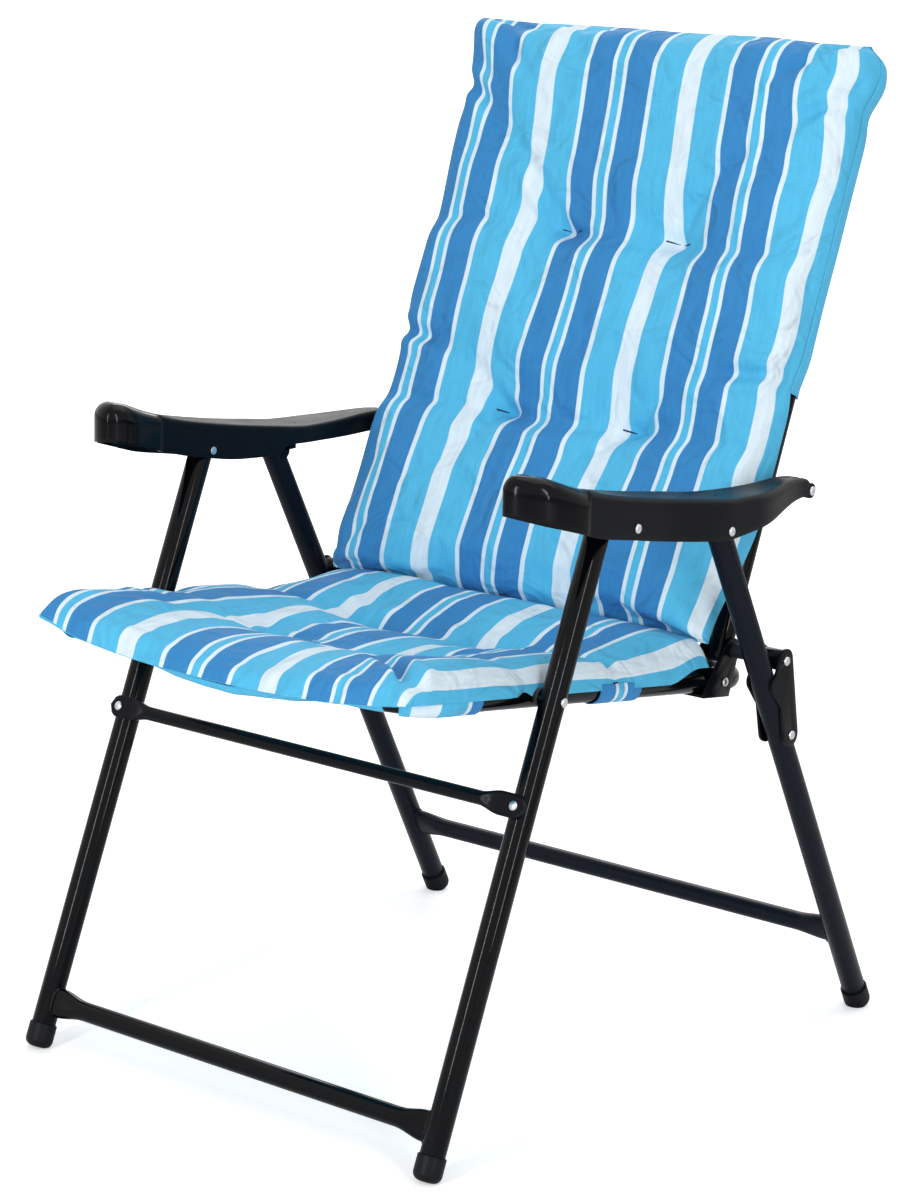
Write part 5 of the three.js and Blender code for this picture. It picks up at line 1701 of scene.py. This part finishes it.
def add_back_pocket():
    turn_share = pocket_turn_share
    hem_height, hem_thickness = pocket_hem
    print_start, print_turn, print_across, print_along = pocket_print

    def place_at(w, t):
        run = pocket_low + (back_high - pocket_top_in - pocket_low) * np.minimum(1, t / pocket_top_share)
        closing = smooth_step((t - 0.9) / 0.1)
        near, far = [back_half_at(run, side * np.ones_like(run)) - pocket_corner for side in (1, -1)]
        turn, turn_far = [np.clip(share / turn_share, 0, 1) for share in (w, 1 - w)]
        middle = np.clip((w - turn_share) / (1 - 2 * turn_share), 0, 1)
        x = near + pocket_corner * (1 - smooth_step(turn)) + middle * (-far - near)
        x = np.where(w > 1 - turn_share, -far - pocket_corner * (1 - smooth_step(turn_far)), x)
        both = np.minimum(turn, turn_far)
        depth = pocket_front + (pocket_rear - pocket_front) * np.sin(np.pi / 2 * both)
        slack = wave_noise(x, run, 120 * MM, 21) * pocket_slack * both
        hem = hem_thickness * smooth_step((pocket_low + hem_height - run) / (1.5 * MM))
        depth = depth + slack * (1 - closing) + hem * both
        depth = depth * (1 - closing) - 10 * MM * closing
        run = run - back_top_wave(x, run) + 1.5 * MM * closing
        return x, depth, run

    def print_at(w, t):
        turns = [np.clip((w - start) / turn_share, 0, 1) for start in (0, 1 - turn_share)]
        across = np.clip((w - turn_share) / (1 - 2 * turn_share), 0, 1)
        across = print_start + print_turn * turns[0] + print_across * across + print_turn * turns[1]
        return across, pocket_low + t * print_along

    pocket = cloth_grid("back_pocket_cloth", 120, 80, place_at, print_at, back_axes, "striped_cloth")
    finish_sheet(pocket, "back_frame", "back_pocket")


# Bands of the pad's cloth, turned a quarter, that hold the pad to the rails
band_radius = 12.4 * MM
band_start = math.radians(28)
band_wrap = math.radians(236)
band_slack = 0.6 * MM


def rail_band(name, start, end, print_start, node):
    bend_start = seat_ring_front + seat_ring_corner

    # The front end follows the bend of the tube
    def place_at(w, t):
        angle = band_start - w * band_wrap
        s = start + (end - start) * t
        bend = np.maximum(0, bend_start - s) / seat_ring_corner
        out = (band_radius + band_slack * np.sin(w * np.pi) * np.sin(t * np.pi)) * np.cos(angle)
        x = rail_x - seat_ring_corner * (1 - np.cos(bend)) + out * np.cos(bend)
        y = np.maximum(s, bend_start) - (seat_ring_corner + out) * np.sin(bend)
        return x, y, band_radius * np.sin(angle)

    def print_at(w, t):
        return print_start + (end - start) * t, band_radius * band_wrap * w

    left = cloth_grid(name, 40, 24, place_at, print_at, in_place, "striped_cloth", band_thickness)
    right = other_side(left)
    for band, side in ((left, "_left"), (right, "_right")):
        band.name = band.data.name = name + side
        band.data.transform(seat_axes)
        finish_sheet(band, "seat_frame", node and node + side)


# Plain cloth under the front bar, from the pad's lip round to its underside
lip_half = 186 * MM
lip_radius = 12.2 * MM
lip_start = math.radians(200)
lip_wrap = math.radians(165)


def add_lip_sleeve():
    def place_at(w, t):
        x = (t * 2 - 1) * lip_half
        angle = lip_start + w * lip_wrap
        taper = 1 - 0.35 * smooth_step((np.abs(x) - 170 * MM) / (26 * MM))
        centre = seat_ring_front + 8 * MM * smooth_step((np.abs(x) - 165 * MM) / (31 * MM))
        around = lip_radius * taper + wave_noise(x, np.zeros_like(x), 45 * MM, 31) * 0.5 * MM
        return x, centre + around * np.cos(angle), around * np.sin(angle) * 0.93 - front_bar_drop(x)

    def print_at(w, t):
        return (t * 2 - 1) * lip_half, lip_radius * math.pi * w

    sleeve = cloth_grid("seat_lip_sleeve", 24, 110, place_at, print_at, seat_axes, "liner_cloth")
    finish_sheet(sleeve, "seat_frame", None)


# Cloths that carry the foam, from rail to rail and from post to post
seat_base_start = -132 * MM
seat_base_run = 366 * MM
seat_base_hem = 0.5 * MM
back_base_half = 205 * MM
back_base_start = 60 * MM
back_base_run = 476 * MM
back_base_depth = -12.1 * MM
base_ripple = 0.5 * MM


def add_base_cloths():
    def seat_at(w, t):
        x = (w * 2 - 1) * (seat_base_half + 0.4 * MM)
        y = seat_base_start + t * seat_base_run
        hem = seat_base_hem * smooth_step((np.abs(w - 0.5) - 0.47) / 0.004)
        ripple = wave_noise(x, y, 90 * MM, 41) * base_ripple * np.sin(np.pi * w)
        return x, y, seat_under_at(x, y) - 1.4 * MM - hem + ripple

    def back_at(w, t):
        x = (w * 2 - 1) * back_base_half
        y = back_base_start + t * back_base_run
        ripple = wave_noise(x, y, 110 * MM, 43) * base_ripple * np.sin(np.pi * w)
        return x, back_base_depth + ripple, y

    for part, columns, rows, place_at, half, run, axes, flat, tube in (
        ("seat", 80, 70, seat_at, seat_base_half, seat_base_run, seat_axes, (0.38, 0.37), ring_piece),
        ("back", 60, 80, back_at, back_base_half, back_base_run, back_axes, (0.41, 0.476), hoop_piece),
    ):
        def print_at(w, t):
            return (w * 2 - 1) * half, t * run

        cloth = cloth_grid(f"{part}_base_sheet", columns, rows, place_at, print_at, axes, "liner_cloth")
        finish_sheet(cloth, f"{part}_frame", f"{part}_base_cloth")


def add_cloth_pieces():
    add_back_pocket()
    rail_band("seat_loop_band", 88 * MM, 148 * MM, stripe_phase - 30 * MM, "seat_loop")
    rail_band("seat_front_band", -154 * MM, -76 * MM, 46 * MM, None)
    add_lip_sleeve()
    add_base_cloths()


# Finishes of the CAD nodes that stay
def finish_nodes():
    slots = {row["node"]: row["material_slot"] for row in frame["record"]["subparts"]}
    for name, node in frame["nodes"].items():
        node.data.materials.clear()
        node.data.materials.append(finishes[slots[name]])


add_camera()
add_studio()
finish_nodes()
add_frame_pieces()
add_seat_pad()
add_back_pad()
add_cloth_pieces()
